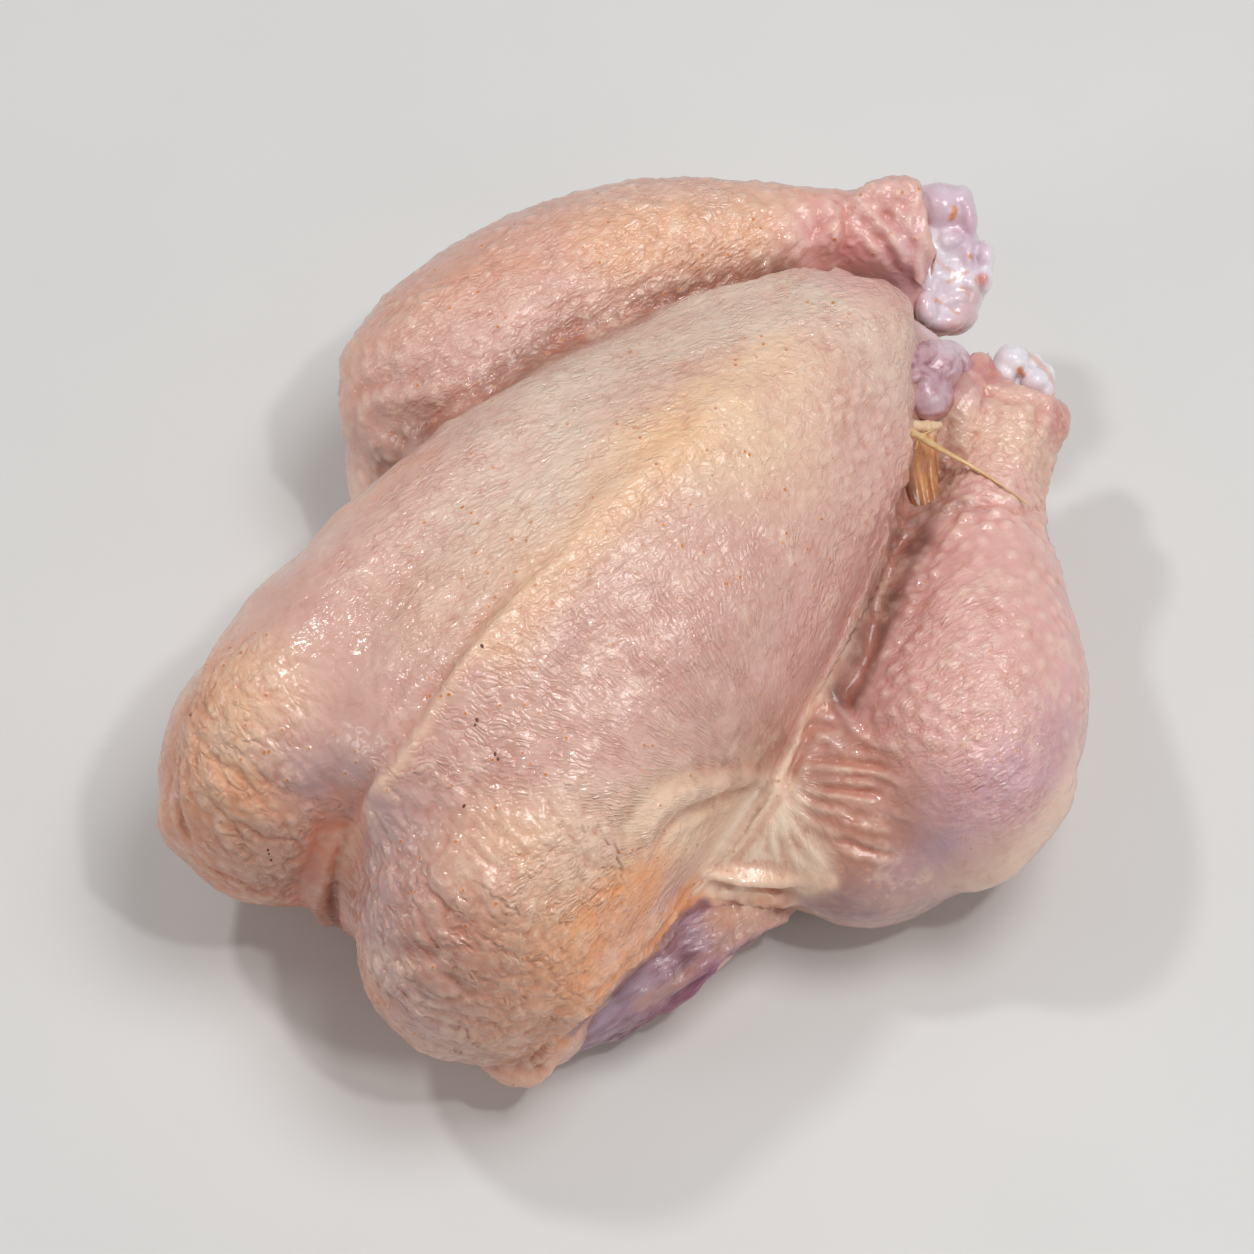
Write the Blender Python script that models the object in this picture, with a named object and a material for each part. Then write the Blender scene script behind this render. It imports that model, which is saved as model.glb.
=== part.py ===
"""An oven-ready whole chicken, plucked and drawn, lying on its back.

One solid. +X runs from the neck to the tail, +Y to the bird's far side, +Z up.
The keel lies over the X axis and the bird rests on z = 0, with the origin under the
middle of its box. Lengths are in millimetres and become metres at the end.
"""
import math

import bmesh
import bpy
from mathutils import Matrix, Vector

METRES_PER_MM = 0.001

# Driving dimensions of the bird
KEEL_HEIGHT = 104.0        # top of the breast over the lowest point of the back
KNEE_RADIUS = 27.0         # thickest place of a drumstick
SHANK_RADIUS = 12.0        # thinnest place of a drumstick
CONDYLE_RADIUS = 5.6       # the rounded bone ends at the hock
SETTLED = 1.6              # how far the soft back flattens on the table

# The vent, between the tip of the breast and the tail
VENT_HALF_WIDTH = 16.0
VENT_HALF_HEIGHT = 13.0
VENT_WALL = 8.0
VENT_DEPTH_TO_X = 44.0

# Mesh sizes
RING = 48                  # points round a form
ROWS = 60                  # rows along a form
FLESH_VOXEL = 2.0
RIM_VOXEL = 1.9
SKIN_TRIANGLES = 9600

SKIN_COLOUR = (0.80, 0.56, 0.46, 1.0)
SKIN_ROUGHNESS = 0.42

# Each trunk station is x, the reach to the near side, the reach to the far side,
# the height of the widest place, top and bottom. Neck end first.
TRUNK = (
    (-92, 40, 50, 36, 74, 6),
    (-70, 49, 58, 42, 92, 0),
    (-30, 51, 61, 46, 103, 0),
    (10, 47, 58, 49, KEEL_HEIGHT, 0),
    (42, 37, 46, 54, 100, 8),
    (66, 27, 34, 60, 94, 24),
    (84, 17, 20, 66, 88, 40),
    (96, 8, 8, 70, 82, 58),
)
# Every other form's stations are x, y, z, half width and half height.
BACK = (
    (20, 0, 26, 44, 26),
    (60, 0, 26, 38, 23),
    (92, -2, 25, 25, 16),
    (114, -4, 27, 14, 12),
)
FAR_LOBE = (
    (-107, 31, 36, 24, 30),
    (-76, 31, 44, 30, 43),
    (-40, 31, 52, 29, 42),
    (0, 27, 58, 28, 40),
    (40, 19, 63, 22, 30),
    (74, 8, 69, 13, 18),
)
NEAR_LOBE = (
    (-105, -27, 36, 24, 32),
    (-76, -26, 42, 30, 43),
    (-40, -25, 52, 27, 42),
    (0, -20, 58, 26, 40),
    (40, -13, 63, 20, 30),
    (74, -6, 69, 12, 18),
)
NEAR_SHOULDER = (
    (-92, -40, 19, 18, 18),
    (-70, -37, 25, 17, 22),
    (-44, -36, 30, 16, 24),
)
NEAR_DRUMSTICK = (
    (0, -78, 33, 22, 25),
    (24, -77, 37, KNEE_RADIUS, KNEE_RADIUS + 3),
    (44, -67, 42, 25, 27),
    (61, -55, 45, 18, 19),
    (78, -42, 46, SHANK_RADIUS, SHANK_RADIUS + 0.5),
    (97, -31, 46, SHANK_RADIUS + 1, SHANK_RADIUS + 0.5),
    (111, -25, 45, SHANK_RADIUS + 2.5, SHANK_RADIUS - 1),
)
NEAR_WEB = (
    (-26, -46, 26, 12, 17),
    (-6, -53, 30, 13, 19),
    (14, -60, 36, 14, 20),
)
NEAR_THIGH = (
    (-20, -60, 22, 22, 22),
    (6, -62, 26, 30, 26),
    (44, -48, 30, 28, 27),
    (76, -26, 28, 24, 22),
)
FAR_DRUMSTICK = (
    (-6, 70, 38, 24, 26),
    (14, 71, 42, KNEE_RADIUS + 1, KNEE_RADIUS + 2),
    (42, 68, 46, KNEE_RADIUS, KNEE_RADIUS + 1),
    (71, 56, 51, 22, 24),
    (92, 40, 55, 15, 16),
    (106, 28, 56, SHANK_RADIUS - 2, SHANK_RADIUS - 1),
    (116, 15, 54, SHANK_RADIUS + 1, SHANK_RADIUS + 3),
    (124, 8, 53, SHANK_RADIUS, SHANK_RADIUS + 2),
)
FAR_THIGH = (
    (-12, 50, 22, 22, 22),
    (8, 58, 26, 30, 26),
    (44, 46, 30, 28, 27),
    (76, 26, 28, 24, 22),
)
NEAR_WING = (
    (-66, -42, 15, 13, 15),
    (-44, -47, 16, 15, 17),
    (-12, -50, 17, 14, 17),
)
FAR_WING = (
    (-66, 48, 15, 13, 15),
    (-44, 53, 16, 15, 17),
    (-12, 56, 17, 14, 17),
)
BELLY = (
    (30, 0, 46, 36, 34),
    (58, -1, 46, 30, 30),
    (80, -2, 46, VENT_HALF_WIDTH + VENT_WALL, VENT_HALF_HEIGHT + VENT_WALL + 3),
    (104, -3, 44, VENT_HALF_WIDTH + 5, VENT_HALF_HEIGHT + VENT_WALL - 1),
)
VENT = (
    (VENT_DEPTH_TO_X, 0, 47, VENT_HALF_WIDTH - 2, VENT_HALF_HEIGHT - 1),
    (64, 0, 47, VENT_HALF_WIDTH, VENT_HALF_HEIGHT),
    (84, -1, 46, VENT_HALF_WIDTH, VENT_HALF_HEIGHT),
    (104, -4, 44, VENT_HALF_WIDTH - 4, VENT_HALF_HEIGHT - 3),
    (128, -5, 43, VENT_HALF_WIDTH - 6, VENT_HALF_HEIGHT - 6),
)

# Bone ends and gristle at the hocks: x, y, z and a share of CONDYLE_RADIUS
HOCK_BONES = (
    (111, -19, 47, 1.0),
    (111, -28, 46, 0.9),
    (127, 11, 57, 1.15),
    (122, -1, 54, 1.0),
    (110.5, 1.5, 47, 1.35),
)

# Creases are pressed in and ridges stand out. Each has a width, and a route of x, y, z
# and how deep it is pressed there, less than nothing for a ridge.
KEEL_VALLEY = (9.0, ((-96, 3, 40, 4), (-91, 3, 62, 5), (-78, 5, 80, 4), (-52, 8, 93, 3), (-20, 10, 101, 1)))
KEEL_RIDGE = (6.0, ((-84, -3, 78, -0.8), (-52, -2, 96, -1.8), (-10, 0, 103, -1.6), (40, 0, 100, -0.8)))
BREAST_EDGE = (8.0, ((80, -14, 58, 1), (60, -28, 50, 3), (36, -38, 42, 4), (14, -46, 40, 2)))
WING_EDGE = (7.0, ((-22, -58, 30, 1), (-44, -60, 30, 3), (-70, -56, 26, 3)))
LEG_WEB = (5.0, ((28, -46, 48, 1.5), (8, -52, 47, 2.0), (-18, -58, 38, 1.0)))
FAR_LOBE_FOLD = (6.0, ((-101, 46, 58, 1.5), (-100, 30, 52, 2.5), (-98, 14, 46, 2.0)))


def between(stations, share):
    """The station at a share of the way along, on a smooth curve through them all."""
    place = share * (len(stations) - 1)
    index = min(int(place), len(stations) - 2)
    t = place - index
    here, there = stations[index], stations[index + 1]
    before = stations[index - 1] if index else [2 * b - c for b, c in zip(here, there)]
    last = index + 2 >= len(stations)
    after = [2 * c - b for b, c in zip(here, there)] if last else stations[index + 2]
    return [
        0.5 * (2 * b + (c - a) * t + (2 * a - 5 * b + 4 * c - d) * t * t + (3 * b - a - 3 * c + d) * t ** 3)
        for a, b, c, d in zip(before, here, there, after)
    ]


def rounding(gone, total, radius):
    """How much of the full section is left at a distance along, with round ends."""
    near_end = min(gone, total - gone) / radius
    return math.sqrt(max(0.0, 1 - (1 - near_end) ** 2)) if near_end < 1 else 1.0


def limb(bm, stations):
    """A round-ended body of oval section through the stations, added to bm."""
    samples = 80
    line = [Vector(between(stations, i / samples)[:3]) for i in range(samples + 1)]
    reach = [0.0]
    for a, b in zip(line, line[1:]):
        reach.append(reach[-1] + (b - a).length)
    total = reach[-1]
    made = bmesh.ops.create_uvsphere(bm, u_segments=RING, v_segments=ROWS, radius=1.0)
    for vertex in made["verts"]:
        angle = math.atan2(vertex.co.y, vertex.co.x)
        share = math.asin(max(-1.0, min(1.0, vertex.co.z))) / math.pi + 0.5
        station = between(stations, share)
        ahead = Vector(between(stations, min(share + 0.01, 1.0))[:3])
        behind = Vector(between(stations, max(share - 0.01, 0.0))[:3])
        along = (ahead - behind).normalized()
        side = Vector((0, 0, 1)).cross(along).normalized()
        upward = along.cross(side)
        index = min(int(share * samples), samples - 1)
        gone = reach[index] + (reach[index + 1] - reach[index]) * (share * samples - index)
        half_width, half_height = station[3], station[4]
        full = rounding(gone, total, 0.5 * (half_width + half_height))
        vertex.co = (
            Vector(station[:3])
            + side * half_width * full * math.cos(angle)
            + upward * half_height * full * math.sin(angle)
        )


def trunk(bm):
    """The trunk, whose section is a low roof over a flattened belly."""
    made = bmesh.ops.create_uvsphere(bm, u_segments=RING, v_segments=ROWS, radius=1.0)
    start, end = TRUNK[0][0], TRUNK[-1][0]
    for vertex in made["verts"]:
        angle = math.atan2(vertex.co.y, vertex.co.x)
        share = math.asin(max(-1.0, min(1.0, vertex.co.z))) / math.pi + 0.5
        x, near, far, widest, top, bottom = between(TRUNK, share)
        full = rounding(x - start, end - start, 14.0)
        across, upward = math.cos(angle), math.sin(angle)
        reach = far if across > 0 else near
        power = 1.18 if upward > 0 else 0.8
        y = math.copysign(abs(across) ** power, across) * reach
        rise = upward * (top - widest) if upward > 0 else -abs(upward) ** 0.9 * (widest - bottom)
        vertex.co = Vector((x, y * full, widest + rise * full))


def bone(bm, x, y, z, share):
    """One rounded bone end."""
    place = Matrix.Translation((x, y, z))
    bmesh.ops.create_icosphere(bm, subdivisions=3, radius=CONDYLE_RADIUS * share, matrix=place)


def new_object(name, bm):
    """An object with the bmesh as its mesh."""
    mesh = bpy.data.meshes.new(name)
    bm.to_mesh(mesh)
    bm.free()
    obj = bpy.data.objects.new(name, mesh)
    bpy.context.scene.collection.objects.link(obj)
    return obj


def apply_modifiers(obj):
    """Puts what the modifiers make into the object's own mesh."""
    bpy.context.view_layer.update()
    graph = bpy.context.evaluated_depsgraph_get()
    mesh = bpy.data.meshes.new_from_object(obj.evaluated_get(graph))
    obj.modifiers.clear()
    obj.data = mesh


def remesh_and_relax(obj, voxel, rounds):
    """One even skin over everything, smoothed."""
    remesh = obj.modifiers.new("Skin", "REMESH")
    remesh.mode = "VOXEL"
    remesh.voxel_size = voxel
    relax = obj.modifiers.new("Relax", "SMOOTH")
    relax.factor = 0.5
    relax.iterations = rounds
    apply_modifiers(obj)


def fused_flesh():
    """All the muscles and limbs as one closed skin."""
    bm = bmesh.new()
    trunk(bm)
    forms = (
        BACK, BELLY, FAR_LOBE, NEAR_LOBE, NEAR_SHOULDER, NEAR_WEB, NEAR_DRUMSTICK, NEAR_THIGH,
        FAR_DRUMSTICK, FAR_THIGH, NEAR_WING, FAR_WING,
    )
    for stations in forms:
        limb(bm, stations)
    bmesh.ops.recalc_face_normals(bm, faces=bm.faces)
    bird = new_object("whole_chicken", bm)
    remesh_and_relax(bird, FLESH_VOXEL, 14)
    return bird


def press(mesh, width, route):
    """A crease or a ridge along the route, fading out over its width."""
    points = [(Vector(stop[:3]), stop[3]) for stop in route]
    moves = []
    for vertex in mesh.vertices:
        best, depth = width, 0.0
        for (a, deep_a), (b, deep_b) in zip(points, points[1:]):
            step = b - a
            share = max(0.0, min(1.0, (vertex.co - a).dot(step) / step.length_squared))
            gap = (vertex.co - a - step * share).length
            if gap < best:
                best, depth = gap, deep_a + (deep_b - deep_a) * share
        fade = 1 - (best / width) ** 2
        moves.append(vertex.normal * (-depth * fade * fade))
    for vertex, move in zip(mesh.vertices, moves):
        vertex.co += move


def cut_vent(bird):
    """The opening under the tip of the breast that the bird was drawn through."""
    bm = bmesh.new()
    limb(bm, VENT)
    bmesh.ops.recalc_face_normals(bm, faces=bm.faces)
    cutter = new_object("vent_cutter", bm)
    cutter.hide_render = True
    cutter.display_type = "WIRE"
    cut = bird.modifiers.new("Vent", "BOOLEAN")
    cut.operation = "DIFFERENCE"
    cut.solver = "EXACT"
    cut.object = cutter
    apply_modifiers(bird)
    bpy.data.objects.remove(cutter)


def add_hock_bones(bird):
    """The bone ends that stand out of the skin at both hocks."""
    bm = bmesh.new()
    bm.from_mesh(bird.data)
    for place in HOCK_BONES:
        bone(bm, *place)
    bm.to_mesh(bird.data)
    bm.free()


def simplify(bird):
    """Fewer triangles, which the fine surface doesn't need."""
    bird.data.calc_loop_triangles()
    fewer = bird.modifiers.new("Fewer", "DECIMATE")
    fewer.ratio = SKIN_TRIANGLES / len(bird.data.loop_triangles)
    apply_modifiers(bird)


def settle(bird):
    """A flat spot where the back lies on the table, and the origin under the box."""
    bm = bmesh.new()
    bm.from_mesh(bird.data)
    lowest = min(vertex.co.z for vertex in bm.verts)
    cut = bmesh.ops.bisect_plane(
        bm, geom=bm.verts[:] + bm.edges[:] + bm.faces[:], dist=1e-4,
        plane_co=(0, 0, lowest + SETTLED), plane_no=(0, 0, 1), clear_inner=True,
    )
    rim = [item for item in cut["geom_cut"] if isinstance(item, bmesh.types.BMEdge)]
    bmesh.ops.holes_fill(bm, edges=rim, sides=0)
    bmesh.ops.triangulate(bm, faces=bm.faces)
    bmesh.ops.recalc_face_normals(bm, faces=bm.faces)
    low, high = box(bm)
    bmesh.ops.translate(bm, vec=(-(low.x + high.x) / 2, -(low.y + high.y) / 2, -low.z), verts=bm.verts)
    bm.to_mesh(bird.data)
    bm.free()


def box(bm):
    """The two opposite corners of everything in bm."""
    low = Vector([min(vertex.co[axis] for vertex in bm.verts) for axis in range(3)])
    high = Vector([max(vertex.co[axis] for vertex in bm.verts) for axis in range(3)])
    return low, high


def raw_skin():
    """Pale wet skin."""
    material = bpy.data.materials.new("raw_skin")
    material.use_nodes = True
    shader = material.node_tree.nodes["Principled BSDF"]
    shader.inputs["Base Color"].default_value = SKIN_COLOUR
    shader.inputs["Roughness"].default_value = SKIN_ROUGHNESS
    shader.inputs["Metallic"].default_value = 0.0
    return material


def main():
    for obj in list(bpy.data.objects):
        bpy.data.objects.remove(obj)
    bird = fused_flesh()
    for width, route in (KEEL_VALLEY, KEEL_RIDGE, BREAST_EDGE, WING_EDGE, LEG_WEB, FAR_LOBE_FOLD):
        press(bird.data, width, route)
    cut_vent(bird)
    add_hock_bones(bird)
    remesh_and_relax(bird, RIM_VOXEL, 3)
    simplify(bird)
    settle(bird)
    bird.data.transform(Matrix.Scale(METRES_PER_MM, 4))
    bird.data.materials.clear()
    bird.data.materials.append(raw_skin())
    bird.data.shade_smooth()
    bird.data.update()


main()
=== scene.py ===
import math
from itertools import product

import bmesh
import bpy
import numpy as np
from mathutils import Matrix, Vector
from mathutils.bvhtree import BVHTree


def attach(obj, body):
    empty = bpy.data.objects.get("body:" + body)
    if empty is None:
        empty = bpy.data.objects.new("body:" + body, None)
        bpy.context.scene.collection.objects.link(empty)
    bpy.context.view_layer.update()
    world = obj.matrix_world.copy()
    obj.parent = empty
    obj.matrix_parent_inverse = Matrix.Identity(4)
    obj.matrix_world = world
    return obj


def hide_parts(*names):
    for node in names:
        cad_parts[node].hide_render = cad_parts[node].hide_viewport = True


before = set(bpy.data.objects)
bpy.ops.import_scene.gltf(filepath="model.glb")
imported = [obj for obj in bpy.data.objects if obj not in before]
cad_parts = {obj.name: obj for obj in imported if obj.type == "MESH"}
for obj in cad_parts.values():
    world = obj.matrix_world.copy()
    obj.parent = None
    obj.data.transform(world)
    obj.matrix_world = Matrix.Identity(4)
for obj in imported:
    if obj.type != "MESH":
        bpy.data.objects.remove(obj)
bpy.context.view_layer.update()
scene = bpy.context.scene
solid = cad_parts["whole_chicken"]
solidTree = BVHTree.FromObject(solid, bpy.context.evaluated_depsgraph_get())
metre = 1000.0  # places are worked out in millimetres
print("solid loaded")

# the photograph's view: places below are its pixels, and a third number is a depth in millimetres
shot = {
    "target": (-12.88, 2.18, 43.95), "azimuth": -48.0, "elevation": 62.0, "distance": 1000.0,
    "pixels": 1254, "focal": 4446.8, "sensor": 36.0, "clip": (0.05, 20.0),
}


def viewAxes():
    a, e = math.radians(shot["azimuth"]), math.radians(shot["elevation"])
    back = Vector((math.sin(a) * math.cos(e), -math.cos(a) * math.cos(e), math.sin(e)))
    right = Vector((math.cos(a), math.sin(a), 0.0))
    return right, back.cross(right), back


viewRight, viewUp, viewBack = viewAxes()
rightWay, upWay, backWay = np.array(viewRight), np.array(viewUp), np.array(viewBack)
eye = Vector(shot["target"]) + viewBack * shot["distance"]


def makeCamera():
    data = bpy.data.cameras.new("photoCamera")
    data.sensor_width = shot["sensor"]
    data.lens = shot["sensor"] * shot["focal"] / shot["pixels"]
    data.clip_start, data.clip_end = shot["clip"]
    camera = bpy.data.objects.new("photoCamera", data)
    scene.collection.objects.link(camera)
    turn = Matrix((viewRight, viewUp, viewBack)).transposed().to_4x4()
    camera.matrix_world = Matrix.Translation(eye / metre) @ turn
    scene.camera = camera


makeCamera()
print("camera set")


def newPiece(name, work):  # the bmesh ends here
    mesh = bpy.data.meshes.new(name)
    work.to_mesh(mesh)
    work.free()
    piece = bpy.data.objects.new(name, mesh)
    scene.collection.objects.link(piece)
    return piece


def settle(piece, steps):  # modifiers that are made part of the mesh
    for kind, values in steps:
        step = piece.modifiers.new(kind, kind)
        for key, value in values.items():
            setattr(step, key, value)
    graph = bpy.context.evaluated_depsgraph_get()
    made = bpy.data.meshes.new_from_object(piece.evaluated_get(graph))
    old = piece.data
    piece.modifiers.clear()
    piece.data = made
    bpy.data.meshes.remove(old)
    piece.data.shade_smooth()


def readPlaces(piece):
    mesh = piece.data
    places = np.zeros(len(mesh.vertices) * 3)
    facing = np.zeros(len(mesh.vertices) * 3)
    mesh.vertices.foreach_get("co", places)
    mesh.vertex_normals.foreach_get("vector", facing)
    return places.reshape(-1, 3) * metre, facing.reshape(-1, 3)


def writePlaces(piece, places):
    piece.data.vertices.foreach_set("co", (places / metre).ravel())
    piece.data.update()


def writeLayer(piece, name, values):
    if values.ndim == 1:
        layer = piece.data.attributes.new(name, "FLOAT", "POINT")
        layer.data.foreach_set("value", values.astype(np.float32))
    else:
        layer = piece.data.attributes.new(name, "FLOAT_VECTOR", "POINT")
        layer.data.foreach_set("vector", values.astype(np.float32).ravel())


def smoothStep(value):
    value = np.clip(value, 0, 1)
    return value * value * (3 - 2 * value)


def bell(value):
    return np.exp(-value ** 2)


# fixed noise, the same on every run; the large numbers only mix the bits of a cell's place
mixers = {
    "cell": (374761393, 668265263, 1440662683), "seed": 974634777, "last": 1274126177,
    "bits": 0xFFFFFFFF, "low": 0xFFFF,
}


def latticeValue(cell, seed):
    mixed = ((cell * np.array(mixers["cell"])).sum(1) + seed * mixers["seed"]) & mixers["bits"]
    mixed = ((mixed ^ (mixed >> 13)) * mixers["last"]) & mixers["bits"]
    return ((mixed ^ (mixed >> 16)) & mixers["low"]) / mixers["low"]


def softNoise(points, seed):
    base = np.floor(points).astype(np.int64)
    part = points - base
    part = part * part * part * (part * (part * 6 - 15) + 10)
    total = np.zeros(len(points))
    for corner in product((0, 1), repeat=3):
        weight = np.prod(np.where(np.array(corner), part, 1 - part), axis=1)
        total += weight * latticeValue(base + np.array(corner), seed)
    return total * 2 - 1


def noiseVectors(points, seeds):
    return np.stack([softNoise(points, seed) for seed in seeds], 1)


def uneven(places, parts):
    return sum(share * softNoise(places / size, seed) for share, size, seed in parts)


def ridges(points, seed):
    coarse = 1 - np.abs(softNoise(points, seed)) * 2
    fine = 1 - np.abs(softNoise(points * 2, seed + 1)) * 2
    return coarse + 0.5 * fine


def creaseLines(points, seed, width):
    return smoothStep(1 - np.abs(softNoise(points, seed)) / width)


def cellGaps(points, seed):  # to the nearest and the second nearest middle of a cell
    base = np.floor(points).astype(np.int64)
    near = np.full(len(points), 9.0)
    second = np.full(len(points), 9.0)
    for corner in product((-1, 0, 1), repeat=3):
        cell = base + np.array(corner)
        seeds = np.stack([latticeValue(cell, seed + k) for k in range(3)], 1)
        gap = np.linalg.norm(cell + 0.1 + 0.8 * seeds - points, axis=1)
        second = np.minimum(second, np.maximum(near, gap))
        near = np.minimum(near, gap)
    return near, second


def imageWay(across, down):
    return (viewRight * across - viewUp * down).normalized()


def grainAxes(way):
    way = Vector(way).normalized()
    other = way.cross(viewBack).normalized()
    return np.array([way, other, way.cross(other)])


def alongGrain(places, way, long, short):
    return places @ grainAxes(way).T / np.array([long, short, short])


# from a pixel of the photograph to a place on the bird
def pixelRay(u, v):
    right, down = (u - shot["pixels"] / 2) / shot["focal"], (v - shot["pixels"] / 2) / shot["focal"]
    return (viewRight * right - viewUp * down - viewBack).normalized()


def atDepth(u, v, depth):
    ray = pixelRay(u, v)
    return eye + ray * ((shot["distance"] - depth) / -ray.dot(viewBack))


def onBird(spot):
    if len(spot) == 3:
        return atDepth(*spot), viewBack
    ray = pixelRay(*spot)
    place, facing, _, _ = solidTree.ray_cast(eye / metre, ray)
    if place is None:  # just off the outline: the nearest place on the bird
        aim = eye + ray * (Vector(shot["target"]) - eye).length
        place, facing, _, _ = solidTree.find_nearest(aim / metre)
    return place * metre, facing


def photoPixels(places):
    gap = places - np.array(eye)
    scale = shot["focal"] / -(gap @ backWay)
    return shot["pixels"] / 2 + gap @ rightWay * scale, shot["pixels"] / 2 - gap @ upWay * scale


def curvePoints(points, step=0.8):  # a smooth curve through the points
    points = [Vector(p) for p in points]
    padded = [points[0] * 2 - points[1]] + points + [points[-1] * 2 - points[-2]]
    made = []
    for a, b, c, d in zip(padded, padded[1:], padded[2:], padded[3:]):
        count = max(2, int((c - b).length / step))
        bend, twist = 2 * a - 5 * b + 4 * c - d, 3 * b - a - 3 * c + d
        for k in range(count):
            t = k / count
            made.append(0.5 * (2 * b + (c - a) * t + bend * t * t + twist * t ** 3))
    made.append(points[-1])
    return made


def skinPath(spots):
    path, facing = [], []
    for point in curvePoints([onBird(s)[0] for s in spots]):
        place, normal, _, _ = solidTree.find_nearest(point / metre)
        path.append(place * metre)
        facing.append(normal)
    return np.array(path), np.array(facing)


def nearPath(places, path, reach, out):  # height above the path counts for a third
    picked = np.nonzero(((places > path.min(0) - reach) & (places < path.max(0) + reach)).all(1))[0]
    gap, at = np.full(len(picked), 1e9), np.zeros(len(picked), int)
    for start in range(0, len(picked), 4000):  # in parts, to spare memory
        some = slice(start, start + 4000)
        apart = places[picked[some], None] - path[None]
        above = (apart * out[None]).sum(2)
        gaps = np.sqrt(np.maximum((apart ** 2).sum(2) - 0.89 * above ** 2, 0))
        gap[some], at[some] = gaps.min(1), gaps.argmin(1)
    keep = gap < reach
    return picked[keep], gap[keep], at[keep]


def zoneWeight(places, patches):  # a patch: route, full width and fading width in millimetres, strength
    left = np.ones(len(places))
    for spots, core, soft, strength in patches:
        found = [onBird(s) for s in spots]
        route = [found[0][0]]
        if len(found) > 1:
            route = curvePoints([f[0] for f in found], min(3.0, core + 0.6 * soft))
        share = np.linspace(0, len(found) - 1, len(route))
        out = np.stack([np.interp(share, range(len(found)), [f[1][k] for f in found]) for k in range(3)], 1)
        out /= np.linalg.norm(out, axis=1)[:, None]
        ids, gap, _ = nearPath(places, np.array([list(p) for p in route]), core + soft * 2.4, out)
        left[ids] *= 1 - strength * bell(np.maximum(gap - core, 0) / soft)
    return 1 - left


# small builders for node trees
def linear(colour):
    parts = [c / 255 for c in colour]
    return tuple(c / 12.92 if c <= 0.04 else ((c + 0.055) / 1.055) ** 2.4 for c in parts) + (1.0,)


def addNode(tree, kind, inputs, out=0, **settings):
    node = tree.nodes.new(kind)
    for key, value in settings.items():
        setattr(node, key, value)
    for key, value in inputs.items():
        if isinstance(value, bpy.types.NodeSocket):
            tree.links.new(value, node.inputs[key])
        else:
            node.inputs[key].default_value = value
    return node.outputs[out]


def sums(tree, kind, a, b, c=0.0):
    return addNode(tree, "ShaderNodeMath", {0: a, 1: b, 2: c}, operation=kind)


def times(tree, a, b, c=0.0):  # a times b, plus c
    return sums(tree, "MULTIPLY_ADD", a, b, c)


def tint(tree, colour, share, shade):
    inputs = {0: share, 6: colour, 7: linear(shade)}
    return addNode(tree, "ShaderNodeMix", inputs, 2, data_type="RGBA", blend_type="MIX", clamp_factor=True)


def layer(tree, name, part="Fac"):
    return addNode(tree, "ShaderNodeAttribute", {}, part, attribute_name=name)


def grainPlaces(tree, way, long, short):
    turn = Matrix(grainAxes(way).tolist()).transposed().to_euler()
    place = addNode(tree, "ShaderNodeTexCoord", {}, "Object")
    size = (long / metre, short / metre, short / metre)
    inputs = {"Vector": place, "Rotation": turn, "Scale": size}
    return addNode(tree, "ShaderNodeMapping", inputs, vector_type="TEXTURE")


def noiseOf(tree, places, size=1.0, detail=2.0, rough=0.5, warp=0.0, kind="FBM"):
    inputs = {"Vector": places, "Scale": size, "Detail": detail, "Roughness": rough, "Distortion": warp}
    return addNode(tree, "ShaderNodeTexNoise", inputs, noise_type=kind, normalize=True)


def cellsOf(tree, places, feature, size=1.0):
    return addNode(tree, "ShaderNodeTexVoronoi", {"Vector": places, "Scale": size}, "Distance", feature=feature)


def remap(tree, value, low, high, newLow=0.0, newHigh=1.0):
    inputs = {"Value": value, 1: low, 2: high, 3: newLow, 4: newHigh}
    return addNode(tree, "ShaderNodeMapRange", inputs, interpolation_type="SMOOTHSTEP")


def startMaterial(name, look):
    material = bpy.data.materials.new(name)
    material.use_nodes = True
    tree = material.node_tree
    shader = tree.nodes["Principled BSDF"]
    shader.inputs["Subsurface Weight"].default_value = look["subsurface"]
    shader.inputs["Subsurface Radius"].default_value = look.get("glow", (1.0, 0.4, 0.25))
    shader.inputs["Subsurface Scale"].default_value = look.get("glowDepth", 3.0) / metre
    shader.inputs["Coat Weight"].default_value = look["coat"]
    shader.inputs["Coat Roughness"].default_value = look["coatRoughness"]
    return material, tree, shader


def endMaterial(tree, shader, colour, height, rough):  # heights are in millimetres
    bump = addNode(tree, "ShaderNodeBump", {"Height": height, "Strength": 1.0, "Distance": 1 / metre})
    tree.links.new(colour, shader.inputs["Base Color"])
    tree.links.new(bump, shader.inputs["Normal"])
    tree.links.new(bump, shader.inputs["Coat Normal"])
    tree.links.new(rough, shader.inputs["Roughness"])


def paintTones(piece, places, tones, patchy):
    for name, tone in tones.items():
        if "patches" in tone:
            writeLayer(piece, name, np.clip(zoneWeight(places, tone["patches"]) * patchy, 0, 1))


def layTones(tree, colour, tones):
    for name, tone in tones.items():
        if "patches" in tone:
            colour = tint(tree, colour, layer(tree, name), tone["colour"])
    return colour


# forms that are fused from lumps and ropes: a rope has a route, radii along it and how deep it sits
def addLump(work, spot, size, turn=0.0):
    made = bmesh.ops.create_icosphere(work, subdivisions=3, radius=1.0)["verts"]
    axes = Matrix((viewRight, viewUp, viewBack)).transposed() @ Matrix.Rotation(math.radians(turn), 3, "Z")
    shape = (axes @ Matrix.Diagonal([s / metre for s in size])).to_4x4()
    bmesh.ops.transform(work, matrix=Matrix.Translation(onBird(spot)[0] / metre) @ shape, verts=made)


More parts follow.
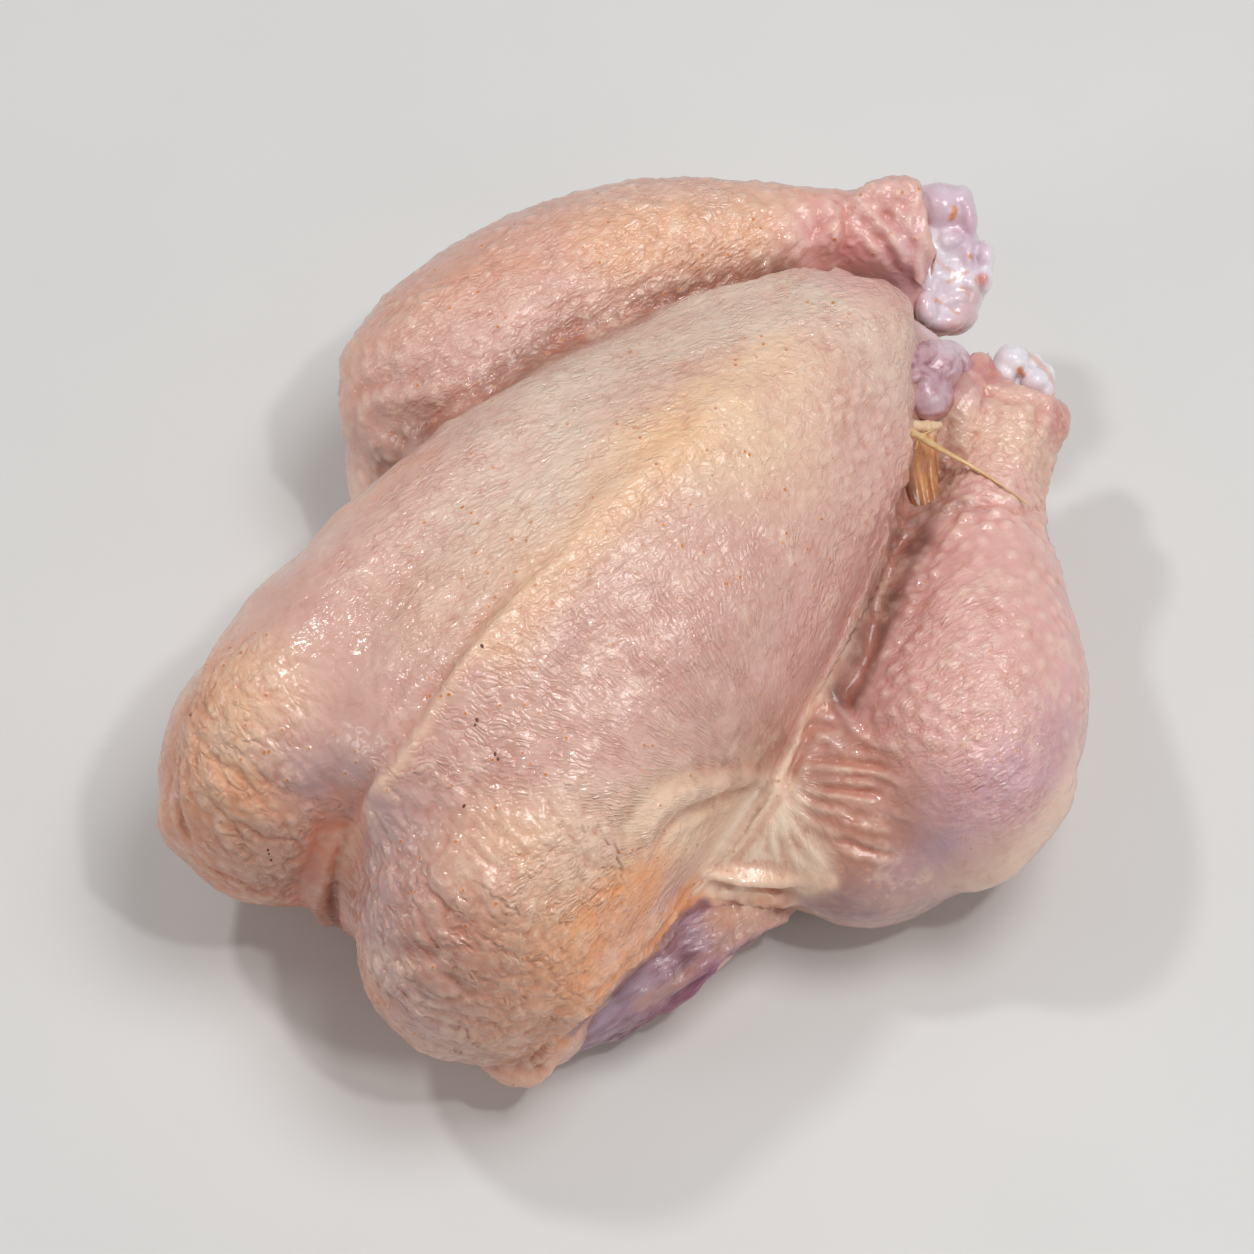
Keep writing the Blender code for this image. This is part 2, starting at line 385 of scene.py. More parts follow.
def addRope(work, spots, radii, sink=0.0):
    points = curvePoints([onBird(s)[0] - viewBack * sink for s in spots], min(radii) * 0.45)
    for k, point in enumerate(points):
        size = np.interp(k / (len(points) - 1), np.linspace(0, 1, len(radii)), radii)
        made = bmesh.ops.create_icosphere(work, subdivisions=2, radius=float(size) / metre)["verts"]
        bmesh.ops.translate(work, vec=point / metre, verts=made)


def addParts(work, parts):
    for kind, *values in parts:
        (addLump if kind == "lump" else addRope)(work, *values)


formNoise = {"ridges": 81, "soft": 82, "sunk": 0.5, "patchy": ((0.3, 3.0, 96),)}


def makeForm(name, form, finish):
    work = bmesh.new()
    addParts(work, form["parts"])
    piece = newPiece(name, work)
    settle(piece, [
        ("REMESH", {"mode": "VOXEL", "voxel_size": form["voxel"] / metre}),
        ("SMOOTH", {"factor": 0.5, "iterations": form["relax"]}),
    ])
    places, facing = readPlaces(piece)
    for height, way, long, short, sharp in form["relief"]:
        points = alongGrain(places, way, long, short)
        if sharp:
            lift = ridges(points, formNoise["ridges"]) - formNoise["sunk"]
        else:
            lift = softNoise(points, formNoise["soft"])
        places += facing * (height * lift)[:, None]
    writePlaces(piece, places)
    places, _ = readPlaces(piece)
    paintTones(piece, places, form["tones"], 1.0 + uneven(places, formNoise["patchy"]))
    piece.data.materials.append(finish)
    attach(piece, "root")


wetNoise = {
    "detail": 3.0, "rough": 0.55, "warp": 0.4, "colour": (0.35, 0.65), "roughness": (0.3, 0.7),
    "lineDetail": 1.0, "lineRough": 0.5, "lineWarp": 0.6, "lineFrom": (0.86, 1.05),
}


def wetMaterial(name, form):
    look, tones = form["finish"], form["tones"]
    material, tree, shader = startMaterial(name, look)
    even = grainPlaces(tree, look.get("way", (1, 0, 0)), look.get("long", 1.0), 1.0)
    noise = noiseOf(tree, even, look["grain"], wetNoise["detail"], wetNoise["rough"], wetNoise["warp"])
    first, second = tones["plain"]["colours"]
    mix = {0: remap(tree, noise, *wetNoise["colour"]), 6: linear(first), 7: linear(second)}
    colour = addNode(tree, "ShaderNodeMix", mix, 2, data_type="RGBA", clamp_factor=True)
    colour = layTones(tree, colour, tones)
    if "lines" in look:  # thin threads of fat or blood over the piece
        thread = (wetNoise["lineDetail"], wetNoise["lineRough"], wetNoise["lineWarp"])
        lines = noiseOf(tree, even, look["lines"]["size"], *thread, "RIDGED_MULTIFRACTAL")
        share = remap(tree, lines, *wetNoise["lineFrom"], 0.0, look["lines"]["share"])
        colour = tint(tree, colour, share, look["lines"]["colour"])
    rough = remap(tree, noise, *wetNoise["roughness"], *look["roughness"])
    endMaterial(tree, shader, colour, times(tree, noise, look["relief"]), rough)
    return material


# the skin: a close copy of the solid with its loose rolls, then folds and bumps drawn on it
# sizes and heights are in millimetres, and a zone's patches are as zoneWeight says
lobeWay, filmWay, scaleWay = imageWay(0.62, 0.78), imageWay(0.86, -0.5), imageWay(1.0, 0.25)
chickenSkin = {
    "lowest": 0.05, "voxel": 0.86, "quickCoarser": 1.8, "relax": 4, "solidRelax": 12,
    "triangles": 197000, "thin": {"from": 0.25, "rate": 8, "steps": 4, "factor": 0.6},
    "rolls": [  # as the parts of a fused form
        ("rope", [(706, 874, 20.6), (722, 878, 19.4), (742, 882, 18.2), (768, 884, 17.8), (794, 882, 18.6),
            (822, 881, 20.4), (850, 884, 21.6)], (0.8, 1.2, 1.3, 1.2, 1.0, 0.8, 0.5)),
        ("rope", [(716, 873, 17.8), (745, 874, 16.4), (770, 875, 16.0), (798, 875, 17.0), (826, 876, 18.4)],
            (1.4, 2.1, 2.2, 1.9, 1.0)),
        ("rope", [(724, 894, 15.6), (750, 896, 13.0), (776, 898, 11.6), (800, 896, 12.6), (824, 893, 15.0)],
            (1.4, 2.4, 2.6, 2.2, 1.4)),
        ("rope", [(340, 826), (324, 856), (319, 888), (326, 918)], (2.2, 3.4, 3.7, 2.8), 1.7),
        ("rope", [(826, 686), (812, 708), (790, 752), (775, 786), (758, 817), (740, 843), (716, 868),
            (694, 890)], (0.7, 0.8, 0.9, 1.0, 1.1, 1.1, 1.1, 1.0), -0.1),
        ("rope", [(834, 258, -28), (838, 240), (835, 214), (826, 194)], (1.0, 1.9, 1.9, 1.2), 0.8),
        ("rope", [(640, 862), (644, 832), (660, 806), (695, 788), (735, 776), (762, 780)],
            (1.6, 2.4, 2.8, 2.8, 2.3, 1.4), 1.4),
        ("rope", [(842, 688), (848, 712), (858, 732), (876, 744), (892, 748)], (0.7, 1.0, 1.2, 1.0, 0.7), -0.2),
        ("rope", [(960, 440, -14), (962, 402, -15), (972, 376, -20), (979, 362, -23)], (3.6, 4.6, 3.8, 2.7)),
        ("rope", [(984, 360, -25), (993, 374, -25), (1008, 388, -23), (1034, 397, -23), (1058, 403, -25)],
            (1.7, 1.7, 1.6, 1.4, 1.5)),
        ("rope", [(1045, 402, -24), (1060, 409, -25), (1060, 432, -22), (1050, 450, -20)], (1.8, 2.4, 2.2, 1.4)),
        ("rope", [(496, 1062, 25), (516, 1072, 25), (532, 1076, 25), (545, 1066, 25), (551, 1052, 27)],
            (3.4, 3.4, 2.7, 2.6, 1.9)),
        ("rope", [(856, 213, -30), (880, 201, -30), (905, 197, -30), (924, 202, -31)], (3.2, 5.0, 5.2, 4.2)),
        ("rope", [(904, 186, -31), (909, 207, -28), (916, 233, -26), (922, 256, -26), (928, 285, -28)],
            (1.3, 1.6, 1.7, 1.7, 1.3)),
    ],
    # where bone shows: a place in the middle, the way out of the sleeve, how far forwards, and the edge
    "cuts": [
        ((1024, 394, -30), (0.33, -0.94), 18.0, [(977, 349), (983, 347), (988, 354), (993, 368), (1000, 379),
            (1010, 387), (1018, 392), (1035, 398), (1051, 402), (1062, 405), (1088, 412)]),
        ((926, 246, -37), (1.0, 0.0), 30.0, [(917, 168), (917, 186), (919, 206), (923, 228), (928, 244),
            (931, 256), (927, 270), (922, 290), (918, 312), (915, 345)]),
    ],
    "cutEdge": {"ragged": 0.5, "size": 1.6, "seed": 24, "side": 1.5, "end": 2.0, "deep": 15, "pushed": 0.94},
    # where the skin is drawn aside: route, reach, shift to the right and down
    "nudges": [
        ([(926, 372, 0), (932, 392, -3), (930, 410, -4)], 3.5, (-1.8, 0.0)),
        ([(222, 610), (184, 690), (168, 760)], 6.0, (1.9, 0.9)),
        ([(168, 815), (176, 855), (196, 880)], 5.0, (-1.7, 0.9)),
        ([(400, 262), (362, 310), (348, 360)], 6.0, (-1.5, -1.0)), ([(350, 410), (354, 460)], 5.0, (-1.8, 0.2)),
        ([(345, 510), (300, 550), (255, 600)], 5.0, (-0.7, -0.7)), ([(480, 194), (560, 182)], 5.0, (0.0, 0.6)),
        ([(540, 362), (620, 331), (700, 305), (780, 284), (850, 272), (890, 284)], 7.0, (-0.5, -2.2)),
        ([(680, 182), (760, 190), (800, 198)], 5.0, (0.0, -0.6)),
        ([(1088, 750), (1080, 795), (1058, 838)], 7.0, (-2.2, -0.9)),
        ([(1010, 868), (975, 884)], 5.0, (0.4, 1.4)), ([(820, 926), (865, 932), (905, 924)], 9.0, (0.0, -1.8)),
        ([(1054, 450), (1048, 500)], 4.0, (-1.3, 0.0)),
        ([(914, 296), (926, 345), (922, 400), (912, 480), (897, 540), (880, 600), (852, 650), (824, 700)], 6.5,
            (-2.1, -0.4)),
    ],
    # each fold: kind, width, height and route; a step is high on the left of its route
    "folds": [
        ("ridge", 1.3, 0.7, [(352, 840), (398, 768), (440, 702), (500, 622), (558, 562), (610, 512)]),
        ("crease", 2.0, 0.8, [(338, 835), (388, 752), (430, 690), (486, 612), (540, 556)]),
        ("ridge", 3.2, 0.7, [(560, 545), (610, 495), (650, 468), (700, 432)]),
        ("crease", 3.0, 0.6, [(196, 742), (240, 776), (290, 798), (345, 800)]),
        ("ridge", 3.5, 0.35, [(190, 775), (230, 805), (280, 835)]),
        ("crease", 1.1, 0.8, [(178, 752), (176, 790), (182, 825), (196, 856)]),
        ("crease", 1.6, 0.35, [(200, 745), (208, 790), (230, 830), (262, 866)]),
        ("crease", 0.9, 0.8, [(334, 868), (333, 890), (336, 910), (343, 934)]),
        ("ridge", 2.6, 0.5, [(362, 812), (350, 850), (348, 890), (358, 940)]),
        ("crease", 2.4, 0.7, [(375, 948), (436, 956), (450, 978), (478, 1004)]),
        ("crease", 2.0, 0.5, [(410, 870), (440, 905), (470, 940)]),
        ("ridge", 3.0, 0.6, [(400, 1000), (440, 1030), (490, 1050), (530, 1056)]),
        ("crease", 1.2, 1.3, [(548, 1040), (536, 1056), (514, 1068)]),
        ("crease", 1.6, 1.0, [(654, 862), (664, 836), (684, 815), (716, 801), (744, 793)]),
        ("crease", 1.8, 0.5, [(618, 850), (628, 818), (648, 792), (690, 772), (740, 762)]),
        ("ridge", 1.4, 0.4, [(700, 815), (684, 838), (674, 866)]),
        ("ridge", 3.0, 1.6, [(552, 1030), (590, 984), (640, 936), (690, 884)]),
        ("step", 1.5, 2.2, [(556, 1043), (582, 1008), (618, 975), (660, 932), (700, 893)]),
        ("crease", 1.1, 1.2, [(822, 703), (798, 755), (781, 796)]),
        ("crease", 1.0, 0.7, [(781, 796), (764, 824), (746, 850), (724, 872)]),
        ("crease", 1.0, 0.5, [(806, 700), (784, 748), (768, 784), (750, 814), (730, 842)]),
        ("crease", 1.3, 1.2, [(712, 893), (740, 895), (770, 897), (800, 895)]),
        ("ridge", 1.1, 0.9, [(784, 760), (802, 770), (832, 774), (870, 773)]),
        ("ridge", 1.2, 1.0, [(786, 770), (812, 780), (846, 782), (884, 787)]),
        ("ridge", 1.1, 0.8, [(788, 780), (815, 792), (850, 798), (890, 803)]),
        ("ridge", 1.1, 0.7, [(788, 792), (818, 808), (855, 816)]),
        ("ridge", 1.1, 0.7, [(786, 802), (812, 824), (848, 840)]),
        ("ridge", 1.0, 0.6, [(784, 812), (802, 842), (824, 866)]),
        ("ridge", 1.0, 0.6, [(778, 806), (786, 838), (800, 872)]),
        ("ridge", 1.0, 0.6, [(770, 810), (772, 842), (776, 868)]),
        ("ridge", 1.0, 0.7, [(800, 764), (840, 768), (884, 776), (915, 790)]),
        ("ridge", 1.0, 0.6, [(812, 796), (850, 806), (890, 812), (920, 822)]),
        ("ridge", 1.0, 0.6, [(830, 818), (866, 828), (900, 832)]),
        ("crease", 1.0, 0.6, [(830, 836), (866, 850), (900, 856)]),
        ("crease", 0.9, 0.6, [(806, 758), (850, 762), (890, 768)]),
        ("crease", 1.0, 0.8, [(785, 765), (808, 776), (838, 779), (872, 780)]),
        ("crease", 1.0, 0.8, [(787, 776), (812, 787), (848, 790), (886, 795)]),
        ("crease", 1.0, 0.6, [(790, 788), (816, 800), (850, 806)]),
        ("ridge", 1.4, 0.8, [(782, 748), (800, 738), (822, 738), (846, 752)]),
        ("crease", 1.2, 1.0, [(790, 742), (812, 728), (838, 728)]),
        ("crease", 2.4, 2.6, [(912, 512), (897, 560), (880, 606), (868, 650), (850, 690), (822, 722)]),
        ("ridge", 0.9, 0.6, [(903, 500), (884, 548), (862, 602), (836, 660), (814, 702)]),
        ("step", 1.3, 1.3, [(836, 262), (840, 240), (836, 215), (826, 190)]),
        ("ridge", 1.5, 1.0, [(828, 262), (832, 240), (828, 215), (820, 192)]),
        ("crease", 1.2, 0.9, [(842, 205), (862, 222), (886, 250), (905, 285)]),
        ("crease", 1.2, 0.9, [(852, 196), (880, 210), (905, 235), (922, 262)]),
        ("crease", 1.2, 0.8, [(872, 186), (895, 196), (914, 215)]),
        ("ridge", 1.4, 0.8, [(846, 200), (870, 215), (895, 242), (915, 275)]),
        ("ridge", 1.4, 0.9, [(918, 182), (916, 207), (925, 235), (935, 262), (926, 290)]),
        ("crease", 2.6, 1.0, [(350, 440), (380, 425), (420, 420), (470, 400)]),
        ("crease", 2.2, 0.7, [(352, 400), (390, 380), (440, 372)]),
        ("ridge", 3.0, 0.6, [(372, 462), (420, 440), (460, 425)]),
        ("crease", 1.5, 1.0, [(958, 385), (985, 392), (1010, 400), (1040, 404), (1066, 407)]),
        ("ridge", 1.3, 0.9, [(962, 378), (988, 388), (1012, 398), (1040, 400), (1064, 404)]),
        ("crease", 1.4, 0.9, [(945, 540), (958, 515), (985, 505), (1020, 508), (1045, 512)]),
    ],
    "foldReach": {"ridge": 3.2, "crease": 3.2, "step": 5.0},
    "foldShape": {"lip": 0.4, "lipAt": 1.9, "lipWidth": 0.9, "stepSlope": 1.6, "stepWidth": 2.4},
    "foldFade": {"ends": 0.22, "facing": 1.6, "least": 0.2, "uneven": 0.35, "size": 4.0, "seed": 7},
    "zones": {
        "lobe": [
            ([(430, 880), (470, 1000), (520, 1040)], 14, 14, 1.0), ([(560, 860), (560, 980)], 10, 10, 0.9),
            ([(230, 800), (300, 860)], 12, 10, 1.0), ([(205, 720), (240, 690)], 6, 9, 0.9),
        ],
        "pebble": [
            ([(960, 535), (975, 610), (950, 670)], 13, 8, 1.0),
            ([(1046, 580), (1074, 680), (1080, 740)], 5, 6, 1.0), ([(905, 520), (895, 580)], 4, 4, 1.0),
            ([(380, 400), (460, 300), (620, 230), (780, 215)], 14, 12, 0.8),
        ],
        "scales": [
            ([(1040, 430), (1000, 440), (985, 480)], 9, 5, 1.0), ([(1010, 500), (1040, 500)], 5, 5, 0.8),
            ([(860, 205), (890, 200)], 4, 5, 0.7),
        ],
        "film": [
            ([(480, 560), (620, 470), (740, 390), (840, 320)], 12, 16, 1.0),
            ([(430, 540), (520, 440), (640, 345), (760, 300)], 10, 12, 1.0),
            ([(640, 600), (760, 500), (850, 420)], 12, 16, 0.6), ([(960, 620), (930, 700)], 7, 8, 0.9),
            ([(1000, 720), (1010, 780)], 7, 8, 0.9), ([(1000, 450)], 8, 8, 0.5),
            ([(560, 900), (620, 900), (680, 850)], 7, 8, 0.9),
            ([(440, 330), (560, 280), (700, 230)], 9, 12, 0.9), ([(640, 930), (600, 985)], 6, 6, 0.8),
        ],
        "smooth": [([(340, 826), (324, 856), (319, 888), (328, 922)], 2.4, 3.0, 0.9)],
        "meat": [
            ([(575, 1036), (620, 1005), (670, 965), (700, 930)], 4, 3, 1.0),
            ([(610, 1025), (660, 995), (705, 955), (745, 925)], 4, 4, 1.0),
        ],
    },
    "wander": {"size": 9.0, "seeds": (11, 12, 13)},  # bends every row below
    # relief by zone: zone, kind, height, width, seed, wander, and the grain's way, length and breadth
    "relief": [
        ("all", "soft", 0.30, 0, 21, 0, None, 11.0, 11.0),
        ("all", "soft", 0.14, 0, 22, 0, None, 5.0, 5.0),
        ("all", "puff", 0.14, 0.35, 101, 2.0, imageWay(0.5, 0.86), 5.4, 3.6),
        ("lobe", "soft", 0.25, 0, 31, 2.6, lobeWay, 15.0, 4.6),
        ("lobe", "crease", 0.50, 0.20, 31, 2.6, lobeWay, 15.0, 4.6),
        ("lobe", "crease", 0.28, 0.22, 32, 2.6, lobeWay, 15.0 / 1.7, 4.6 / 1.7),
        ("lobe", "puff", 0.30, 0.5, 41, 1.2, lobeWay, 4.6, 3.0),
        ("pebble", "dome", 0.66, 0.6, 51, 1.0, None, 4.0, 4.0),
        ("pebble", "puff", 0.10, 0.3, 51, 1.0, None, 4.0, 4.0),
        ("scales", "puff", 0.56, 0.5, 55, 0.6, scaleWay, 4.4, 2.6),
        ("film", "ridge", 0.16, 0, 61, 3.0, filmWay, 8.0, 3.0),
        ("film", "crease", 0.16, 0.25, 63, 3.0, filmWay, 8.0 / 1.3, 3.0 / 1.3),
        ("meat", "ridge", 0.5, 0, 71, 2.0, imageWay(0.8, -0.6), 12.0, 4.5),
    ],
    "sunk": {"scales": -0.4 * 0.56, "meat": -0.5 * 0.5},  # a zone's surface as a whole
    # fine wrinkles gather at the foot of the cord on the near breast and fan out from it over the leg
    "flow": {
        "breastFoot": (778, 800), "breastFine": 50.0, "breastLong": 3.6, "flat": 12.0,
        "webFoot": (772, 775), "webFine": 15.0, "webLong": 7.0, "webShare": 0.55, "webReach": (2, 6, 18, 16),
        "bend": (1.1, 6.0, 17), "stir": (0.45, 0.4), "stirSizes": (2.6, 1.5), "stirSeeds": (18, 28),
        "systems": {  # zone, share, way, length and breadth of its wrinkles
            "scales": (0.8, scaleWay, 3.0, 1.7), "lobe": (0.95, lobeWay, 4.4, 2.7),
            "film": (0.95, filmWay, 3.4, 1.3),
        },
        "filmGrain": (filmWay, 3.8, 1.25), "filmStir": 0.9,
        "zone": [
            ([(560, 760), (640, 660), (740, 560), (820, 480)], 24, 14, 1.0),
            ([(850, 420), (870, 500), (840, 580), (780, 700)], 12, 10, 0.9),
            ([(430, 820), (520, 740)], 10, 12, 0.6),
        ],
        # the leg's side lies to the right of this line: rows and columns of pixels
        "legLine": ((480, 600, 700, 757, 790, 840, 895), (925, 872, 815, 787, 774, 740, 690)),
    },
    # colours in the order they are laid on
    "tones": {
        "plain": {"colour": (221, 176, 162)},
        "cream": {"colour": (240, 206, 174), "patches": [
            ([(470, 640), (560, 545), (640, 470), (760, 400)], 8, 16, 0.9),
            ([(640, 860), (660, 805), (750, 780)], 3, 5, 0.9), ([(560, 850), (520, 980)], 8, 12, 0.6),
            ([(250, 700), (230, 790), (270, 830)], 7, 10, 0.5), ([(1010, 430), (985, 485)], 6, 8, 0.6),
            ([(735, 856), (775, 856)], 4, 5, 0.5), ([(690, 830), (740, 800), (720, 860)], 5, 6, 0.8),
            ([(620, 230), (760, 215)], 4, 8, 0.3), ([(190, 700), (250, 600), (350, 500)], 3, 7, 0.5),
        ]},
        "green": {"colour": (228, 205, 188), "patches": [
            ([(520, 400), (640, 345), (760, 300)], 8, 12, 0.8), ([(470, 520), (560, 460)], 5, 9, 0.5),
            ([(600, 480), (560, 530)], 3, 5, 0.4), ([(850, 290), (885, 330), (890, 380)], 5, 8, 0.6),
            ([(450, 800), (560, 740)], 6, 12, 0.25), ([(430, 1010), (470, 1040)], 5, 8, 0.3),
        ]},
        "mauve": {"colour": (208, 162, 151), "patches": [
            ([(300, 640), (390, 700), (420, 640)], 8, 14, 0.45),
            ([(450, 740), (560, 670), (680, 580)], 9, 14, 0.72), ([(820, 500), (780, 600)], 8, 14, 0.28),
            ([(840, 400), (850, 420)], 4, 8, 0.3), ([(640, 660), (720, 600)], 8, 14, 0.4),
            ([(380, 400), (430, 440)], 8, 12, 0.5), ([(430, 270), (520, 215)], 4, 8, 0.5),
            ([(300, 770), (340, 790)], 3, 6, 0.6), ([(620, 400), (700, 370)], 3, 7, 0.25),
        ]},
        "greyLilac": {"colour": (192, 158, 160), "patches": [
            ([(366, 820), (366, 870), (396, 940), (424, 1000)], 6, 7, 0.9),
            ([(430, 840), (450, 900)], 4, 7, 0.6), ([(470, 950), (500, 1010)], 4, 7, 0.35),
            ([(290, 760), (340, 775)], 3, 5, 0.4),
        ]},
        "orange": {"colour": (248, 164, 102), "patches": [
            ([(562, 1036), (612, 976), (652, 934), (684, 896)], 3.5, 4, 1.0),
            ([(540, 1005), (585, 945), (635, 896)], 4, 8, 0.75), ([(490, 1070), (540, 1060)], 3, 8, 0.35),
            ([(178, 760), (204, 668), (258, 592), (338, 518), (420, 456)], 1.0, 5.0, 0.3),
            ([(360, 360), (420, 300), (520, 250), (620, 240), (760, 250)], 3, 7, 0.2),
            ([(740, 905), (775, 905)], 3, 4, 0.5), ([(826, 200), (832, 250)], 2, 4, 0.6),
        ]},
        "gold": {"colour": (242, 188, 136), "patches": [
            ([(500, 640), (580, 540), (650, 470), (690, 440)], 2, 5, 0.38),
            ([(250, 690), (215, 760), (250, 830)], 4, 8, 0.4),
            ([(490, 860), (515, 950), (530, 1030)], 5, 9, 0.4),
            ([(620, 250), (720, 225), (790, 225)], 3, 6, 0.25),
            ([(911, 450), (899, 530), (878, 594), (850, 656), (824, 700)], 0.8, 2.4, 0.55),
            ([(610, 470), (700, 400), (790, 350)], 2, 6, 0.25),
        ]},
        # painted shade: a warmer, darker orange-brown along the lobes' lower and outer edges
        "warmEdgeShade": {"colour": (214, 136, 94), "patches": [
            ([(190, 700), (178, 760), (174, 830), (205, 876)], 3, 8, 0.6),
            ([(215, 884), (270, 905), (330, 922)], 3, 7, 0.75),
            ([(358, 960), (392, 1022), (440, 1066), (500, 1086)], 2, 6, 0.6),
            ([(470, 960), (530, 1010)], 8, 10, 0.35), ([(240, 830), (290, 860)], 8, 8, 0.4),
        ]},
        "fold": {"colour": (228, 140, 106), "patches": [
            ([(336, 832), (320, 862), (316, 892), (326, 920)], 3, 3, 0.9),
            ([(352, 800), (344, 826)], 2, 4, 0.5),
        ]},
        # painted shade: a dark line down the notch's crease and a darker band beside it
        "notchShade": {"colour": (126, 58, 40), "patches": [
            ([(334, 880), (334, 905), (340, 928)], 0.4, 0.8, 0.8),
            ([(321, 876), (324, 900), (332, 926)], 2.0, 2.6, 0.4),
        ]},
        "rose": {"colour": (228, 177, 171), "patches": [
            ([(985, 540), (1000, 650), (960, 720)], 14, 12, 0.85), ([(900, 660), (890, 720)], 5, 8, 0.8),
            ([(1040, 600), (1060, 700)], 8, 10, 0.8), ([(990, 380), (1050, 400)], 4, 6, 0.5),
            ([(850, 240), (900, 230)], 8, 8, 0.9),
        ]},
        "deepRose": {"colour": (188, 134, 130), "patches": [([(925, 560), (900, 640), (880, 700)], 2, 5, 0.7)]},
        "lilac": {"colour": (206, 160, 168), "patches": [
            ([(900, 850), (960, 810), (1010, 790), (1060, 740)], 4, 7, 0.8),
            ([(905, 270), (925, 300)], 4, 6, 0.6), ([(990, 372), (975, 400)], 2, 3, 0.4),
        ]},
        "blue": {"colour": (188, 164, 184), "patches": [([(905, 860), (935, 838)], 2, 4, 0.3)]},
        "under": {"colour": (240, 206, 184), "patches": [
            ([(940, 915), (1000, 870), (1042, 834), (1078, 770)], 1.5, 5, 0.8),
        ]},
        # painted shade: dark grey-lilac along the underside of the thigh
        "lilacShadeUnderThigh": {"colour": (160, 122, 126), "patches": [
            ([(830, 905), (880, 910), (940, 905)], 3, 6, 0.7), ([(850, 880), (900, 890)], 2, 4, 0.5),
        ]},
        # the tan of the thigh's fan folds, and painted shade on the lower parts of the lobes
        "tanAndLobeShade": {"colour": (188, 132, 112), "patches": [
            ([(800, 775), (850, 790), (870, 810)], 6, 8, 0.8), ([(820, 830), (850, 850)], 4, 6, 0.5),
            ([(250, 850), (290, 880)], 5, 6, 0.4), ([(440, 850), (480, 930)], 8, 10, 0.25),
            ([(436, 960), (470, 1010), (520, 1048)], 7, 9, 0.4),
        ]},
        # the web's pale peach, made lighter still as painted light where the web faces away from the lamps
        "web": {"colour": (255, 228, 204), "patches": [
            ([(728, 862), (750, 840), (772, 806)], 4.5, 3.5, 1.0), ([(745, 868), (800, 870)], 3, 3.5, 1.0),
            ([(775, 830), (792, 860)], 4, 4, 0.95),
        ]},
        "keelLine": {"colour": (236, 190, 156), "patches": [
            ([(345, 858), (398, 768), (440, 702), (500, 622), (558, 562), (600, 520)], 0.5, 1.4, 0.5),
        ]},
        "cord": {"colour": (248, 212, 184), "patches": [
            ([(826, 686), (812, 708), (790, 752), (775, 786), (758, 817), (740, 843), (716, 868), (694, 890)],
                0.7, 0.8, 1.0),
            ([(905, 490), (888, 545), (868, 600), (842, 656), (818, 700)], 0.4, 0.7, 0.6),
            ([(706, 874, 20.6), (722, 878, 19.4), (742, 882, 18.2), (768, 884, 17.8), (794, 882, 18.6),
                (830, 881, 20.8)], 0.8, 1.2, 0.9),
        ]},
        "redSkin": {"colour": (206, 118, 112), "patches": [
            ([(1062, 405, -24), (1062, 430, -22)], 1.5, 3, 0.8),
            ([(980, 356, -22), (984, 376, -20)], 1.5, 3, 0.6), ([(840, 262), (890, 290)], 3, 5, 0.4),
            ([(920, 320, -34)], 3, 4, 0.4),
        ]},
        "gristle": {"colour": (226, 200, 206), "patches": [
            ([(926, 324, -19), (936, 335, -19)], 1.6, 1.2, 0.9),
        ]},
        "meat": {"colour": (156, 114, 118), "patches": [
            ([(578, 1030), (628, 982), (672, 938), (702, 908)], 1.4, 1.2, 1.0),
            ([(600, 1030), (650, 1000), (700, 955), (730, 925)], 3.5, 2.6, 0.9),
        ]},
        "legShade": {"colour": (138, 86, 66), "patches": [
            ([(385, 472), (460, 412), (540, 356), (620, 322), (700, 294), (780, 272)], 1.4, 4.0, 0.66),
        ]},
        "shade": {"colour": (128, 84, 76), "patches": [
            ([(905, 545), (888, 590), (872, 650), (850, 695)], 2.2, 2.5, 0.8),
            ([(905, 500), (912, 540)], 2.5, 3, 0.7), ([(930, 430), (930, 490)], 3, 3, 0.6),
        ]},
    },
    # unevenness as share, size and seed
    "patchy": ((0.35, 9.0, 91), (0.25, 4.0, 92)), "mottle": ((1.0, 6.0, 93), (0.6, 2.6, 94)), "mottleFrom": 0.1,
    # bends: how deep a hollow and how sharp a crest must be for the painted shade and the painted highlight
    "pored": {"size": 12.0, "seed": 95, "more": 0.5, "soft": 0.7}, "bends": {"hollowShade": 0.45, "crestHighlight": 0.60},
    "finish": {
        "roughness": (0.38, 0.56), "subsurface": 0.15, "coat": 0.65, "coatRoughness": 0.09,
        # pale serves the pale mottle, the pore rims and the painted highlights on crests and wrinkle tops; crease
        # serves the crease lines and the painted shade in hollows
        "pale": (240, 210, 188), "flush": (200, 140, 122), "crease": (198, 112, 82), "bump": (240, 208, 196),
        "fine": 0.45, "fineSplit": (0.4, 0.6), "fineHeight": 0.12, "paleShare": (0.1, 0.5), "flushShare": (0.1, 0.4),
        "crestHighlightShare": 0.35, "hollowShadeShare": 0.36, "bumpShare": 0.38,
        "pores": 0.28, "poreDome": (0.10, 0.28), "poreDot": (0.085, 0.15), "poreHeight": 0.15,
        "poreShare": 0.32, "dot": (212, 122, 38), "dotShare": 0.9, "legPores": 0.45,
        "uneven": 0.16, "unevenShare": (0.38, 0.6, 0.15, 1.0),
        "filmHeight": 0.84, "filmElsewhere": 0.2, "filmUnderFlow": 0.75, "filmTopHighlight": (0.54, 0.7, 0.0, 0.35),
        "lineWidth": 0.11, "lineHeight": -0.035, "lineShare": 0.34,
        "puffWidth": 0.4, "puffHeight": 0.11, "lobePuff": 0.22, "filmPuff": 0.07,
        "cells": 0.9, "cellHeight": 0.27, "cellTopHighlight": (0.54, 0.7, 0.0, 0.22),
        "lobeGrain": (lobeWay, 3.4, 1.6), "lobeHeight": (0.16, 0.10),
    },
}


